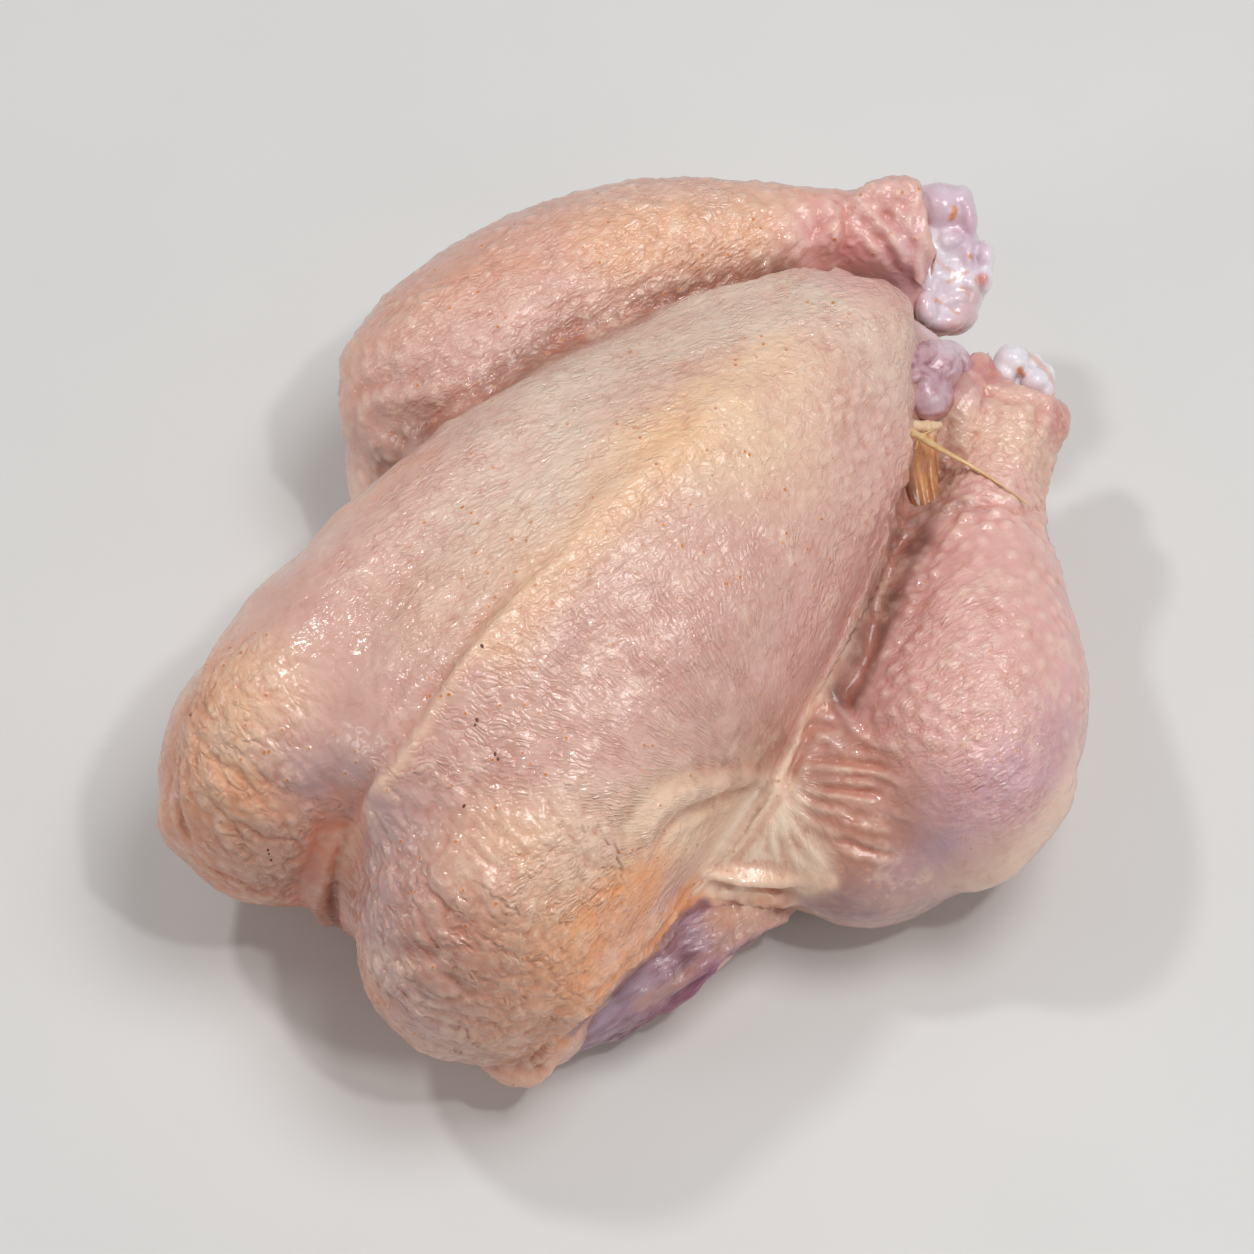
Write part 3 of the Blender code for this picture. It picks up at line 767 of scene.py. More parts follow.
def makeSkin():
    work = bmesh.new()
    work.from_mesh(solid.data)
    bmesh.ops.remove_doubles(work, verts=work.verts, dist=2e-5)
    skin = newPiece("chickenSkin", work)
    settle(skin, [
        ("SUBSURF", {"levels": 2, "render_levels": 2}),
        ("SMOOTH", {"factor": 0.5, "iterations": chickenSkin["solidRelax"]}),
    ])
    work = bmesh.new()
    addParts(work, chickenSkin["rolls"])
    work.from_mesh(skin.data)
    work.to_mesh(skin.data)
    work.free()
    voxel = chickenSkin["voxel"] * 1.0 / metre
    settle(skin, [
        ("REMESH", {"mode": "VOXEL", "voxel_size": voxel}),
        ("SMOOTH", {"factor": 0.5, "iterations": chickenSkin["relax"]}),
    ])
    print("skin laid on the solid:", len(skin.data.vertices), "points")
    return skin


def findZones(places):  # the band of skin in the notch stays smooth
    zones = {name: zoneWeight(places, patches) for name, patches in chickenSkin["zones"].items()}
    rough = 1 - zones.pop("smooth")
    return {name: rough * zone for name, zone in zones.items()}


def wanderOf(places):
    return noiseVectors(places / chickenSkin["wander"]["size"], chickenSkin["wander"]["seeds"])


def reliefLift(kind, width, points, seed):
    if kind == "soft":
        return softNoise(points, seed)
    if kind == "ridge":
        return ridges(points, seed)
    if kind == "crease":
        return -creaseLines(points, seed, width)
    near, second = cellGaps(points, seed)
    return smoothStep(1 - near / width) if kind == "dome" else smoothStep((second - near) / width)


def sculptRelief(places, facing):
    zones = findZones(places)
    zones["all"] = np.ones(len(places))
    wander = wanderOf(places)
    lift = sum(zones[zone] * depth for zone, depth in chickenSkin["sunk"].items())
    for zone, kind, height, width, seed, stray, way, long, short in chickenSkin["relief"]:
        points = places + wander * stray
        points = alongGrain(points, way, long, short) if way else points / long
        lift = lift + zones[zone] * height * reliefLift(kind, width, points, seed)
    places += facing * lift[:, None]


def nudgeSkin(places):
    for route, reach, (right, down) in chickenSkin["nudges"]:
        path, out = skinPath(route)
        ids, gap, _ = nearPath(places, path, 2.4 * reach, out)
        places[ids] += (rightWay * right - upWay * down) * bell(gap / reach)[:, None]


def cutSleeves(places):  # the skin is pushed back to the edge of its sleeve
    look = chickenSkin["cutEdge"]
    for spot, way, reach, edge in chickenSkin["cuts"]:
        out = np.array(imageWay(*way))
        side = -np.cross(backWay, out)
        middle = np.array(onBird(spot)[0])
        rim = np.array([list(atDepth(*pixel, spot[2])) for pixel in edge]) - middle
        rimAside, rimAhead = rim @ side, rim @ out
        gap = places - middle
        aside = gap @ side
        ahead = gap @ out - np.interp(aside, rimAside, rimAhead)
        ahead -= look["ragged"] * softNoise(places / look["size"], look["seed"])
        inside = smoothStep((aside - rimAside[0]) / look["side"]) * smoothStep((rimAside[-1] - aside) / look["side"])
        inside *= smoothStep((reach - ahead) / look["end"])
        inside *= smoothStep((look["deep"] - np.abs(gap @ backWay)) / look["end"])
        places -= out * (np.maximum(ahead, 0) * inside * look["pushed"])[:, None]


def drawFold(places, facing, kind, width, height, spots):
    path, out = skinPath(spots)
    ids, gap, at = nearPath(places, path, width * chickenSkin["foldReach"][kind], out)
    if len(ids) == 0:
        return
    look, share = chickenSkin["foldFade"], at / (len(path) - 1)
    fade = smoothStep(share / look["ends"]) * smoothStep((1 - share) / look["ends"])
    fade *= smoothStep((facing[ids] * out[at]).sum(1) * look["facing"] + look["least"])
    fade *= 1 + look["uneven"] * softNoise(places[ids] / look["size"], look["seed"])
    form = chickenSkin["foldShape"]
    if kind == "ridge":
        shape = bell(gap / width)
    elif kind == "crease":
        lip = bell((gap - form["lipAt"] * width) / (form["lipWidth"] * width))
        shape = form["lip"] * lip - bell(gap / width)
    else:
        way = np.gradient(path, axis=0)
        way /= np.linalg.norm(way, axis=1)[:, None] + 1e-9
        across = ((places[ids] - path[at]) * np.cross(out, way)[at]).sum(1)
        shape = np.tanh(form["stepSlope"] * across / width) * bell(gap / (form["stepWidth"] * width))
    places[ids] += out[at] * (shape * height * fade)[:, None]


def sculptSkin(skin):
    places, facing = readPlaces(skin)
    sculptRelief(places, facing)
    nudgeSkin(places)
    cutSleeves(places)
    for fold in chickenSkin["folds"]:
        drawFold(places, facing, *fold)
    places[:, 2] = np.maximum(places[:, 2], chickenSkin["lowest"])
    writePlaces(skin, places)
    print("folds drawn:", len(chickenSkin["folds"]))


def thinSkin(skin):  # fewer triangles underneath, where there is less to see
    look = chickenSkin["thin"]
    _, facing = readPlaces(skin)
    group = skin.vertex_groups.new(name="under")
    level = np.clip(np.round((look["from"] - facing @ backWay) * look["rate"]), 0, look["steps"]).astype(int)
    for k in range(1, look["steps"] + 1):
        group.add(np.nonzero(level == k)[0].tolist(), k / look["steps"], "REPLACE")
    share = min(1.0, chickenSkin["triangles"] / (2 * len(skin.data.polygons)))
    settle(skin, [
        ("DECIMATE", {"ratio": share, "vertex_group": "under", "vertex_group_factor": look["factor"]}),
    ])
    skin.vertex_groups.clear()


def writeFlow(piece, places, zones, legSide):  # coordinates that follow the fine wrinkles
    flow = chickenSkin["flow"]
    foot = {side: np.array(onBird(flow[side + "Foot"])[0]) for side in ("breast", "web")}
    gap = places - np.where(legSide[:, None], foot["web"], foot["breast"])
    across, up = gap @ rightWay, gap @ upWay
    reach = np.hypot(across, up)
    fine = np.where(legSide, flow["webFine"], flow["breastFine"])
    turn = np.where(legSide, np.arctan2(up, across), np.arctan2(across, up)) * fine
    long = np.where(legSide, flow["webLong"], flow["breastLong"])
    coarse, close = (
        noiseVectors(places / size, range(seed, seed + 3))
        for size, seed in zip(flow["stirSizes"], flow["stirSeeds"])
    )
    stir = coarse + 0.6 * close
    bend, bendSize, bendSeed = flow["bend"]
    turn = turn + bend * softNoise(places / bendSize, bendSeed)
    rows = np.stack([turn, reach / long, places @ backWay / flow["flat"]], 1) + flow["stir"][0] * stir
    start, rise, stop, fall = flow["webReach"]
    web = flow["webShare"] * smoothStep((reach - start) / rise) * (1 - smoothStep((reach - stop) / fall))
    share = np.where(legSide, web, zoneWeight(places, flow["zone"]))
    for name, (strength, *grain) in flow["systems"].items():  # two ways of wrinkling fade out where they meet
        zone = strength * zones[name]
        rows = np.where((zone > share)[:, None], alongGrain(places, *grain) + flow["stir"][1] * stir, rows)
        most = np.maximum(share, zone)
        share = most * smoothStep(np.abs(share - zone) / (0.35 * most + 1e-6))
    writeLayer(piece, "flow", rows)
    writeLayer(piece, "flowShare", share)
    writeLayer(piece, "film", alongGrain(places + flow["filmStir"] * stir, *flow["filmGrain"]))


def bending(piece):  # how far each point lies below its neighbours, over a few rings
    mesh = piece.data
    places, facing = readPlaces(piece)
    ends = np.zeros(len(mesh.edges) * 2, dtype=np.int64)
    mesh.edges.foreach_get("vertices", ends)
    first, last = ends.reshape(-1, 2).T
    both = np.concatenate([first, last])
    count = np.maximum(np.bincount(both, minlength=len(places)), 1)

    def around(values):
        return np.bincount(both, np.concatenate([values[last], values[first]]), len(places)) / count

    length = ((places[first] - places[last]) ** 2).sum(1)
    spread = np.bincount(both, np.concatenate([length, length]), len(places)) / count
    middle = np.stack([around(places[:, k]) for k in range(3)], 1)
    bend = 4 * ((middle - places) * facing).sum(1) / np.maximum(spread, 1e-4)
    for _ in range(3):
        bend = 0.4 * bend + 0.6 * around(bend)
    return bend


def paintSkin(piece):
    places, _ = readPlaces(piece)
    paintTones(piece, places, chickenSkin["tones"], 1.0 + uneven(places, chickenSkin["patchy"]))
    mottle = uneven(places, chickenSkin["mottle"])
    writeLayer(piece, "pale", smoothStep(mottle - chickenSkin["mottleFrom"]))
    writeLayer(piece, "flush", smoothStep(-mottle - chickenSkin["mottleFrom"]))
    u, v = photoPixels(places)
    legSide = u > np.interp(v, *chickenSkin["flow"]["legLine"])
    look = chickenSkin["pored"]
    pored = smoothStep((softNoise(places / look["size"], look["seed"]) + look["more"]) / look["soft"])
    writeLayer(piece, "pored", pored * np.where(legSide, chickenSkin["finish"]["legPores"], 1.0))
    zones = findZones(places)
    for name in ("lobe", "film"):
        writeLayer(piece, name + "Relief", zones[name])
    near, _ = cellGaps((places + wanderOf(places)) / 4.0, 51)  # the same goose bumps as in the relief
    writeLayer(piece, "bumps", zones["pebble"] * smoothStep(1 - near / 0.5))
    writeFlow(piece, places, zones, legSide)
    bend = bending(piece)
    # painted shade: the hollows of the skin are darkened with the crease colour
    writeLayer(piece, "hollowShade", smoothStep(bend / chickenSkin["bends"]["hollowShade"]))
    # painted highlight: the crests of the skin are made paler
    writeLayer(piece, "crestHighlight", smoothStep(-bend / chickenSkin["bends"]["crestHighlight"]))


def skinMaterial():
    look, tones = chickenSkin["finish"], chickenSkin["tones"]
    material, tree, shader = startMaterial("rawChickenSkin", look)
    even = grainPlaces(tree, (1, 0, 0), 1.0, 1.0)
    fine = noiseOf(tree, even, look["fine"], 2.0, 0.6)
    pores = cellsOf(tree, even, "F1", look["pores"])
    dome = times(tree, remap(tree, pores, *look["poreDome"], 1.0, 0.0), layer(tree, "pored"))
    dot = times(tree, remap(tree, pores, *look["poreDot"], 1.0, 0.0), layer(tree, "pored"))
    pale = times(tree, layer(tree, "pale"), remap(tree, fine, *look["fineSplit"], *look["paleShare"]))
    flush = times(tree, layer(tree, "flush"), remap(tree, fine, *look["fineSplit"][::-1], *look["flushShare"]))
    # the film of long soft wrinkles
    flowing = layer(tree, "flowShare")
    film = noiseOf(tree, layer(tree, "film", "Vector"))
    filmShare = times(tree, layer(tree, "filmRelief"), 1 - look["filmElsewhere"], look["filmElsewhere"])
    still = sums(tree, "MAXIMUM", times(tree, flowing, -1.0, 1.0), look["filmUnderFlow"])
    filmShare = times(tree, filmShare, still)
    # small cells between creases, along the wrinkles
    flow = layer(tree, "flow", "Vector")
    cells = noiseOf(tree, flow, look["cells"], 1.0)
    gaps = cellsOf(tree, flow, "DISTANCE_TO_EDGE")
    share = times(tree, flowing, remap(tree, noiseOf(tree, even, look["uneven"]), *look["unevenShare"]))
    lines = times(tree, remap(tree, gaps, 0.0, look["lineWidth"], 1.0, 0.0), share)
    puff = times(tree, layer(tree, "lobeRelief"), look["lobePuff"], look["puffHeight"])
    puff = times(tree, share, times(tree, layer(tree, "filmRelief"), look["filmPuff"], puff))
    lobe = noiseOf(tree, grainPlaces(tree, *look["lobeGrain"]), 1.0, 1.0)
    tints = [
        # random pale and flushed mottle, then a painted highlight on the crests
        (pale, "pale"), (flush, "flush"), (times(tree, layer(tree, "crestHighlight"), look["crestHighlightShare"]), "pale"),
        # painted shade in the hollows
        (times(tree, layer(tree, "hollowShade"), look["hollowShadeShare"]), "crease"),
        (times(tree, layer(tree, "bumps"), look["bumpShare"]), "bump"),
        (times(tree, dome, look["poreShare"]), "pale"), (times(tree, dot, look["dotShare"]), "dot"),
        # painted highlights: the tops of the film and cell wrinkles turn pale
        (times(tree, remap(tree, film, *look["filmTopHighlight"]), filmShare), "pale"),
        (times(tree, lines, look["lineShare"]), "crease"),
        (times(tree, remap(tree, cells, *look["cellTopHighlight"]), flowing), "pale"),
    ]
    colour = layTones(tree, linear(tones["plain"]["colour"]), tones)
    for strength, shade in tints:
        colour = tint(tree, colour, strength, look[shade])
    heights = [
        (film, times(tree, filmShare, look["filmHeight"])), (lines, look["lineHeight"]),
        (remap(tree, gaps, 0.0, look["puffWidth"]), puff), (cells, times(tree, flowing, look["cellHeight"])),
        (lobe, times(tree, layer(tree, "lobeRelief"), *look["lobeHeight"])),
        (dome, look["poreHeight"]), (fine, look["fineHeight"]),
    ]
    height = 0.0
    for form, amount in heights:
        height = times(tree, form, amount, height)
    endMaterial(tree, shader, colour, height, remap(tree, fine, 0.35, 0.65, *look["roughness"]))
    return material


skin = makeSkin()
sculptSkin(skin)
thinSkin(skin)
print("skin faces:", len(skin.data.polygons))
paintSkin(skin)
skin.data.materials.append(skinMaterial())
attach(skin, "root")
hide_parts("whole_chicken")
print("skin painted")

# bones and gristle at the hocks
boneTones = {
    "plain": {"colours": ((246, 242, 246), (232, 226, 236))},
    "lilacBone": {"colour": (216, 186, 200), "patches": [
        ([(930, 195, -32), (965, 210, -32)], 3, 4, 0.8), ([(968, 225, -31), (972, 250, -31)], 2, 3, 0.7),
        ([(925, 290, -31), (955, 322, -30)], 4, 4, 0.5),
    ]},
    "rawBone": {"colour": (214, 150, 142), "patches": [
        ([(918, 302, -31), (922, 336, -31), (955, 336, -31)], 1, 2, 0.5),
        ([(923, 224, -34), (922, 232, -34)], 0.8, 1.0, 0.8), ([(982, 279, -31)], 0.9, 0.9, 0.95),
        ([(975, 300, -31), (965, 325, -31)], 1, 2.5, 0.5),
    ]},
    "tendon": {"colour": (216, 136, 66), "patches": [
        ([(955, 209, -30), (952, 222, -30)], 0.45, 0.5, 0.95),
        ([(934, 257, -30), (953, 271, -30)], 0.3, 0.5, 0.5),
        ([(918, 303, -30), (938, 301, -29), (958, 313, -30)], 0.2, 0.35, 0.6),
        ([(924, 309, -30), (936, 299, -30)], 0.15, 0.35, 0.4),
        ([(971, 256, -31), (981, 262, -31)], 0.25, 0.4, 0.7),
        ([(948, 282, -31), (969, 271, -31)], 0.2, 0.3, 0.5), ([(958, 262, -31)], 0.35, 0.4, 0.7),
        ([(962, 288, -31), (970, 294, -31)], 0.2, 0.35, 0.55),
        ([(1020, 370, -25), (1022, 375, -25)], 0.45, 0.45, 1.0),
        ([(1014, 386, -25), (1018, 389, -25)], 0.3, 0.5, 0.8),
        ([(1024, 351, -31), (1036, 361, -30), (1046, 371, -30), (1052, 384, -30), (1053, 398, -30)], 0.4, 0.5,
            0.5),
        ([(922, 222, -32)], 0.5, 1.0, 0.6),
    ]},
}
boneLook = {
    "roughness": (0.18, 0.34), "subsurface": 0.25, "glow": (1.0, 0.8, 0.8), "glowDepth": 2.0,
    "coat": 0.6, "coatRoughness": 0.08, "grain": 0.45, "relief": 0.05,
}
nearHockBones = {
    "voxel": 0.42, "relax": 5, "relief": ((0.15, (1, 0, 0), 3.0, 3.0, False),),
    "tones": boneTones, "finish": boneLook,
    "parts": [
        ("lump", (1011, 361, -29), (4.3, 4.0, 6.4), 20),
        ("lump", (1003, 372, -29), (3.0, 3.6, 5.8), 14),
        ("lump", (1035, 381, -28), (3.3, 3.3, 5.6), -30),
        ("lump", (1044, 391, -30), (2.2, 2.8, 4.8), -20),
        ("lump", (1020, 390, -33), (6.4, 5.2, 5.0), -16),
        ("lump", (1018, 400, -34), (9.0, 4.0, 6.0), -16),
        ("lump", (1031, 366, -33), (3.2, 3.2, 4.6), -30),
        ("lump", (1042, 378, -33), (3.0, 3.6, 4.6), -30),
        ("rope", [(1020, 348, -32), (1031, 357, -31), (1042, 367, -31), (1050, 378, -31), (1053, 392, -31),
            (1052, 402, -31)], (0.6, 0.8, 0.9, 0.9, 0.8, 0.7)),
    ],
}
farHockBones = {
    "voxel": 0.45, "relax": 10, "relief": ((0.22, (1, 0, 0), 4.2, 4.2, False),),
    "tones": boneTones, "finish": boneLook,
    "parts": [
        ("lump", (942, 208, -38), (6.4, 6.2, 8.0), 0),
        ("lump", (959, 203, -38), (3.6, 4.4, 7.0), 0),
        ("lump", (967, 219, -38), (2.5, 5.4, 7.0), 0),
        ("lump", (925, 205, -39), (3.6, 4.6, 7.0), 0),
        ("lump", (926, 262, -40), (7.0, 10.0, 9.0), 0),
        ("lump", (950, 246, -40), (7.0, 8.0, 8.0), 0),
        ("lump", (985, 257, -38), (2.3, 4.0, 6.0), 0),
        ("lump", (982, 280, -38), (2.6, 4.0, 6.2), -8),
        ("lump", (952, 286, -39.5), (8.0, 9.0, 8.6), 0),
        ("lump", (966, 299, -39), (3.6, 5.6, 7.0), -20),
        ("lump", (955, 314, -38.5), (5.6, 5.0, 8.0), 16),
        ("lump", (934, 317, -38), (6.2, 4.8, 8.0), 4),
        ("lump", (950, 241, -33.5), (3.4, 2.5, 3.4), 20),
        ("lump", (967, 257, -34), (1.5, 4.0, 3.0), -6),
        ("lump", (938, 276, -33), (3.4, 2.8, 3.0), 30),
        ("lump", (955, 300, -32.5), (3.6, 2.0, 2.6), 24),
        ("lump", (934, 300, -32), (3.0, 1.4, 2.6), -20),
        ("lump", (946, 322, -32), (5.0, 2.6, 3.0), 6),
        ("lump", (968, 284, -33), (2.0, 2.0, 2.4), 0),
        ("lump", (928, 280, -34), (3.4, 8.0, 4.6), 6),
        ("lump", (926, 309, -30.5), (2.6, 4.4, 4.0), 4),
    ],
}
boneFinish = wetMaterial("wetBoneEnd", nearHockBones)
makeForm("nearHockBones", nearHockBones, boneFinish)
makeForm("farHockBones", farHockBones, boneFinish)

# the rolled end of the tail
tailEnd = {
    "voxel": 0.5, "relax": 4, "relief": ((0.25, (1, 0, 0), 3.4, 3.4, True),),
    "parts": [
        ("rope", [(912, 360, -1), (924, 353, -5), (940, 350, -11), (954, 352, -15.5), (963, 360, -17),
            (964, 374, -17.5)], (2.5, 2.6, 2.5, 2.4, 2.1, 1.5)),
        ("lump", (934, 368, -10.5), (6.6, 5.4, 6.0), 0),
        ("lump", (926, 396, -8), (6.0, 6.0, 6.6), 0),
        ("lump", (941, 402, -13), (3.2, 4.4, 5.4), -14),
        ("rope", [(908, 376, -1), (926, 375, -3.5), (940, 382, -6), (948, 394, -8), (944, 410, -8)],
            (1.6, 1.7, 1.6, 1.4, 1.2)),
        ("rope", [(936, 366, -5.5), (946, 369, -8), (951, 379, -10), (948, 390, -9)], (0.5, 0.6, 0.6, 0.4)),
    ],
    "tones": {
        "plain": {"colours": ((208, 168, 178), (178, 130, 142))},
        # pale on the roll's top and lower lobe, and a painted highlight along the thin fold in the hollow
        "paleTailAndGlint": {"colour": (222, 204, 214), "patches": [
            ([(938, 352, -12), (958, 348, -13)], 1.0, 2.0, 0.8),
            ([(950, 366, -11), (955, 380, -10)], 0.6, 1.4, 0.7), ([(928, 398, -8)], 2.0, 2.5, 0.5),
        ]},
        "redTail": {"colour": (176, 96, 92), "patches": [
            ([(922, 415, -10), (945, 418, -10), (960, 405, -10)], 0.8, 1.6, 0.8),
            ([(926, 376, -9)], 0.6, 1.4, 0.8), ([(944, 368, -12), (948, 376, -12)], 1.0, 1.4, 0.8),
            ([(922, 388, -5), (934, 392, -5)], 0.4, 1.0, 0.6),
        ]},
    },
    "finish": {
        "roughness": (0.22, 0.4), "subsurface": 0.2, "coat": 0.5, "coatRoughness": 0.1,
        "grain": 0.4, "relief": 0.15,
    },
}
makeForm("tailEnd", tailEnd, wetMaterial("wetTailEnd", tailEnd))
print("hock ends and tail made")

# the fat in the gap between the breast and the leg, with upright strands
gapFat = {
    "voxel": 0.42, "relax": 3, "relief": ((0.35, imageWay(0.15, 1.0), 9.0, 1.1, False),),
    "parts": [
        ("rope", [(908, 432, -5), (907, 460, -8), (912, 488, -9), (921, 512, -8), (931, 536, -5.5)],
            (1.6, 1.8, 1.8, 1.5, 0.7)),
        ("rope", [(918, 430, -7), (918, 460, -8.5), (921, 488, -9), (928, 512, -7.5), (935, 536, -5)],
            (1.7, 1.8, 1.7, 1.4, 0.7)),
        ("rope", [(929, 430, -8.5), (930, 458, -9.5), (932, 486, -9), (936, 510, -7.5), (939, 532, -5.5)],
            (1.7, 2.0, 1.9, 1.4, 0.7)),
        ("rope", [(908, 426, -3), (922, 426, -5), (938, 425, -8)], (1.4, 1.6, 1.2)),
    ],
    "tones": {
        "plain": {"colours": ((226, 168, 116), (192, 128, 82))},
        "creamFat": {"colour": (240, 208, 172), "patches": [([(910, 426, -3), (938, 426, -8)], 1.2, 1.0, 0.9)]},
        "shadedFat": {"colour": (120, 68, 44), "patches": [
            ([(903, 445, -8), (904, 470, -8), (910, 500, -9), (924, 528, -6)], 1.0, 1.3, 0.85),
        ]},
    },
    "finish": {
        "roughness": (0.3, 0.46), "subsurface": 0.2, "coat": 0.4, "coatRoughness": 0.15,
        "grain": 0.5, "relief": 0.25, "long": 3.5, "way": imageWay(0.15, 1.0),
    },
}
makeForm("gapFat", gapFat, wetMaterial("tanFat", gapFat))

# the thread of fat across the gap
yellowStrand = {
    "voxel": 0.24, "relax": 3, "relief": ((0.12, imageWay(0.9, 0.5), 4.0, 0.9, False),),
    "parts": [
        ("rope", [(896, 423, 6.5), (908, 430, 4), (922, 438, 1), (945, 452, -2.5), (966, 463, -3.7),
            (986, 475, -2.6), (1006, 488, -0.4), (1026, 503, -0.9)],
            (1.0, 0.95, 0.85, 0.6, 0.48, 0.42, 0.36, 0.3)),
        ("rope", [(918, 435, 1.6), (926, 433, 1.4), (932, 430, 1.2)], (0.34, 0.32, 0.26)),
        ("rope", [(916, 437, 1.6), (917, 444, 0.8), (915, 449, 0.2)], (0.36, 0.32, 0.26)),
    ],
    "tones": {"plain": {"colours": ((232, 202, 152), (220, 178, 122))}},
    "finish": {
        "roughness": (0.3, 0.45), "subsurface": 0.15, "coat": 0.3, "coatRoughness": 0.2,
        "grain": 0.8, "relief": 0.1, "long": 4.0, "way": imageWay(0.9, 0.5),
    },
}
makeForm("yellowStrand", yellowStrand, wetMaterial("yellowThread", yellowStrand))
print("fat made")

# the bare meat low on the near side
wingMeat = {
    "voxel": 0.55, "relax": 4,
    "relief": ((0.45, imageWay(0.8, -0.6), 12.0, 2.4, True), (0.5, (1, 0, 0), 5.0, 5.0, False)),
    "parts": [
        ("lump", (600, 1016, 15.2), (12.0, 4.8, 7.6), 38),
        ("lump", (640, 986, 14.2), (15.0, 7.2, 8.4), 38),
        ("lump", (682, 950, 12), (15.0, 8.0, 8.6), 40),
        ("lump", (724, 924, 6.5), (13.0, 6.8, 8.2), 30),
        ("lump", (762, 906, 1.5), (9.0, 5.0, 7.4), 12),
        ("rope", [(566, 1042, 16), (600, 1036, 12), (634, 1024, 10), (650, 1014, 10), (668, 1000, 12),
            (690, 988, 14), (706, 972, 15)], (1.4, 1.9, 2.4, 1.5, 2.4, 1.9, 1.2)),
        ("rope", [(640, 1010, 17), (676, 988, 18), (708, 962, 17), (740, 938, 13), (784, 918, 7)],
            (1.1, 1.6, 1.7, 1.5, 1.0)),
        ("rope", [(708, 975, 14), (712, 968, 16), (712, 961, 17)], (0.7, 1.0, 0.6)),
    ],
    "tones": {
        "plain": {"colours": ((176, 138, 150), (136, 92, 106))},
        "silver": {"colour": (188, 168, 184), "patches": [
            ([(585, 1020, 20), (640, 975, 28)], 2.0, 4.0, 0.6),
            ([(660, 945, 30), (690, 920, 28)], 1.5, 3.0, 0.5),
        ]},
        "band": {"colour": (206, 160, 138), "patches": [
            ([(640, 1004, 20), (675, 984, 20), (708, 960, 20), (740, 935, 16)], 0.6, 1.4, 0.5),
            ([(745, 905, 16), (790, 905, 11)], 3.0, 4.0, 0.85),
            ([(725, 925, 18), (765, 915, 13)], 2.0, 3.0, 0.6),
        ]},
        "raw": {"colour": (150, 84, 110), "patches": [
            ([(660, 1015, 12), (700, 990, 12), (712, 970, 14)], 1.5, 2.5, 0.7),
        ]},
    },
    "finish": {
        "roughness": (0.28, 0.5), "subsurface": 0.15, "coat": 0.4, "coatRoughness": 0.16,
        "grain": 0.8, "relief": 0.5, "long": 4.0, "way": imageWay(0.8, -0.6),
        "lines": {"size": 0.9, "share": 0.5, "colour": (212, 188, 204)},
    },
}
makeForm("wingMeat", wingMeat, wetMaterial("purpleMeat", wingMeat))
print("meat made")

# a few dark specks lie on the breast skin: pixel, radius
skinSpecks = {
    "specks": [
        ((482, 646), 0.36), ((477, 720), 0.38), ((475, 725), 0.26), ((495, 754), 0.34), ((498, 759), 0.3),
        ((464, 806), 0.34), ((268, 850), 0.3), ((269, 854), 0.26), ((271, 860), 0.32),
    ],
    "shape": (1.0, 1.4, 0.4), "tones": {"plain": {"colours": ((128, 66, 40), (92, 46, 34))}},
    "finish": {
        "roughness": (0.4, 0.6), "subsurface": 0.0, "coat": 0.2, "coatRoughness": 0.2,
        "grain": 2.5, "relief": 0.15,
    },
}


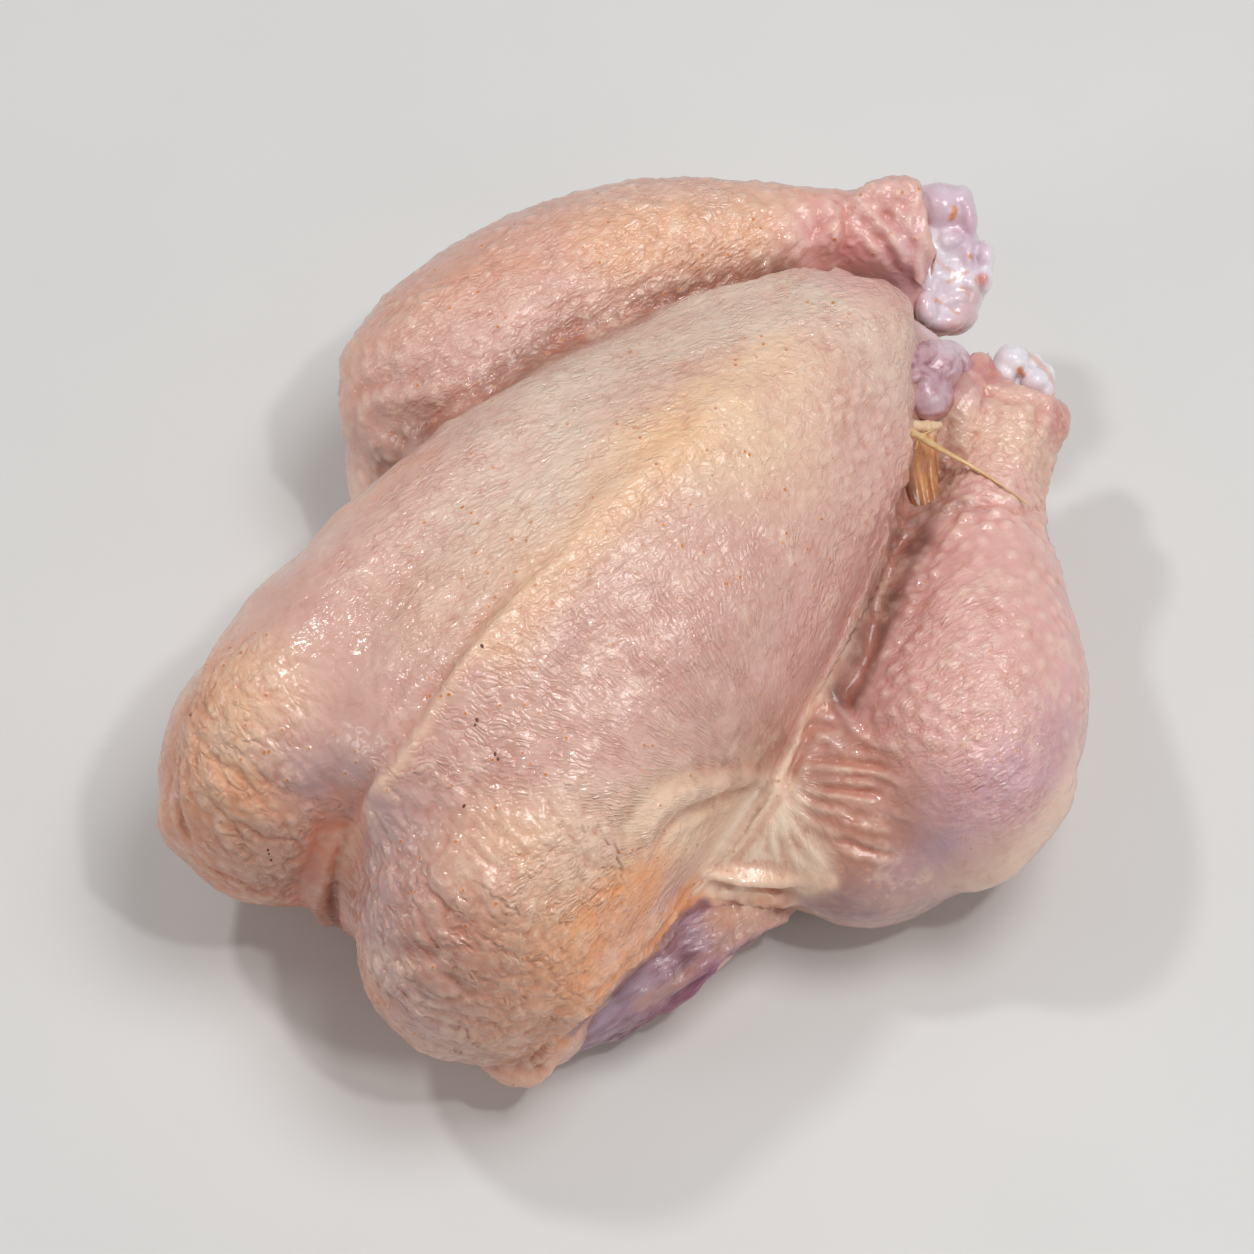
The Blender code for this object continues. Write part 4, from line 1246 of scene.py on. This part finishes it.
def makeSpecks():
    skinTree = BVHTree.FromObject(skin, bpy.context.evaluated_depsgraph_get())
    work = bmesh.new()
    for spot, size in skinSpecks["specks"]:
        place, facing, _, _ = skinTree.ray_cast(eye / metre, pixelRay(*spot))
        made = bmesh.ops.create_icosphere(work, subdivisions=2, radius=1.0)["verts"]
        turn = facing.to_track_quat("Z", "Y").to_matrix().to_4x4()
        shape = Matrix.Diagonal([size * s / metre for s in skinSpecks["shape"]]).to_4x4()
        bmesh.ops.transform(work, matrix=Matrix.Translation(place) @ turn @ shape, verts=made)
    piece = newPiece("skinSpecks", work)
    piece.data.shade_smooth()
    piece.data.materials.append(wetMaterial("darkSpeck", skinSpecks))
    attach(piece, "root")


makeSpecks()
print("specks laid on")

studio = {
    "floor": 3.0, "floorColours": ((218, 217, 215), (224, 223, 221)), "floorGrain": 60.0, "floorRoughness": 0.7,
    "world": 0.24, "middle": (0, 0, 0.04),
    "lights": [  # name, towards the light as right, up and back, distance, size, watts
        ("key", (0.28, 0.5, 0.82), 1.15, 0.5, 5.0),
        ("fill", (0.85, -0.25, 0.55), 1.3, 0.7, 2.4),
        ("rim", (-0.42, 0.66, 0.62), 1.2, 0.12, 2.9),
        ("glint", (0.3, 0.26, 0.92), 1.1, 0.07, 1.9),
        ("left", (-0.95, -0.05, 0.45), 1.3, 0.4, 2.0),
    ],
}


def makeFloor():
    work = bmesh.new()
    bmesh.ops.create_grid(work, x_segments=8, y_segments=8, size=studio["floor"] / 2)
    floor = newPiece("studioFloor", work)
    material = bpy.data.materials.new("paleFloor")
    material.use_nodes = True
    tree = material.node_tree
    shader = tree.nodes["Principled BSDF"]
    cloudy = noiseOf(tree, grainPlaces(tree, (1, 0, 0), studio["floorGrain"], studio["floorGrain"]))
    first, second = studio["floorColours"]
    tree.links.new(tint(tree, linear(first), cloudy, second), shader.inputs["Base Color"])
    shader.inputs["Roughness"].default_value = studio["floorRoughness"]
    floor.data.materials.append(material)


def makeLights():
    world = bpy.data.worlds.new("studioAir")
    world.use_nodes = True
    air = world.node_tree.nodes["Background"]
    air.inputs["Color"].default_value = (1.0, 1.0, 1.0, 1.0)
    air.inputs["Strength"].default_value = studio["world"]
    scene.world = world
    for name, towards, far, size, watts in studio["lights"]:
        data = bpy.data.lights.new(name, "AREA")
        data.shape, data.size, data.energy = "DISK", size, watts
        light = bpy.data.objects.new(name, data)
        scene.collection.objects.link(light)
        way = (viewRight * towards[0] + viewUp * towards[1] + viewBack * towards[2]).normalized()
        light.location = Vector(studio["middle"]) + way * far
        light.rotation_euler = way.to_track_quat("Z", "Y").to_euler()


makeFloor()
makeLights()
scene.view_settings.view_transform = "Standard"
print("studio lit")
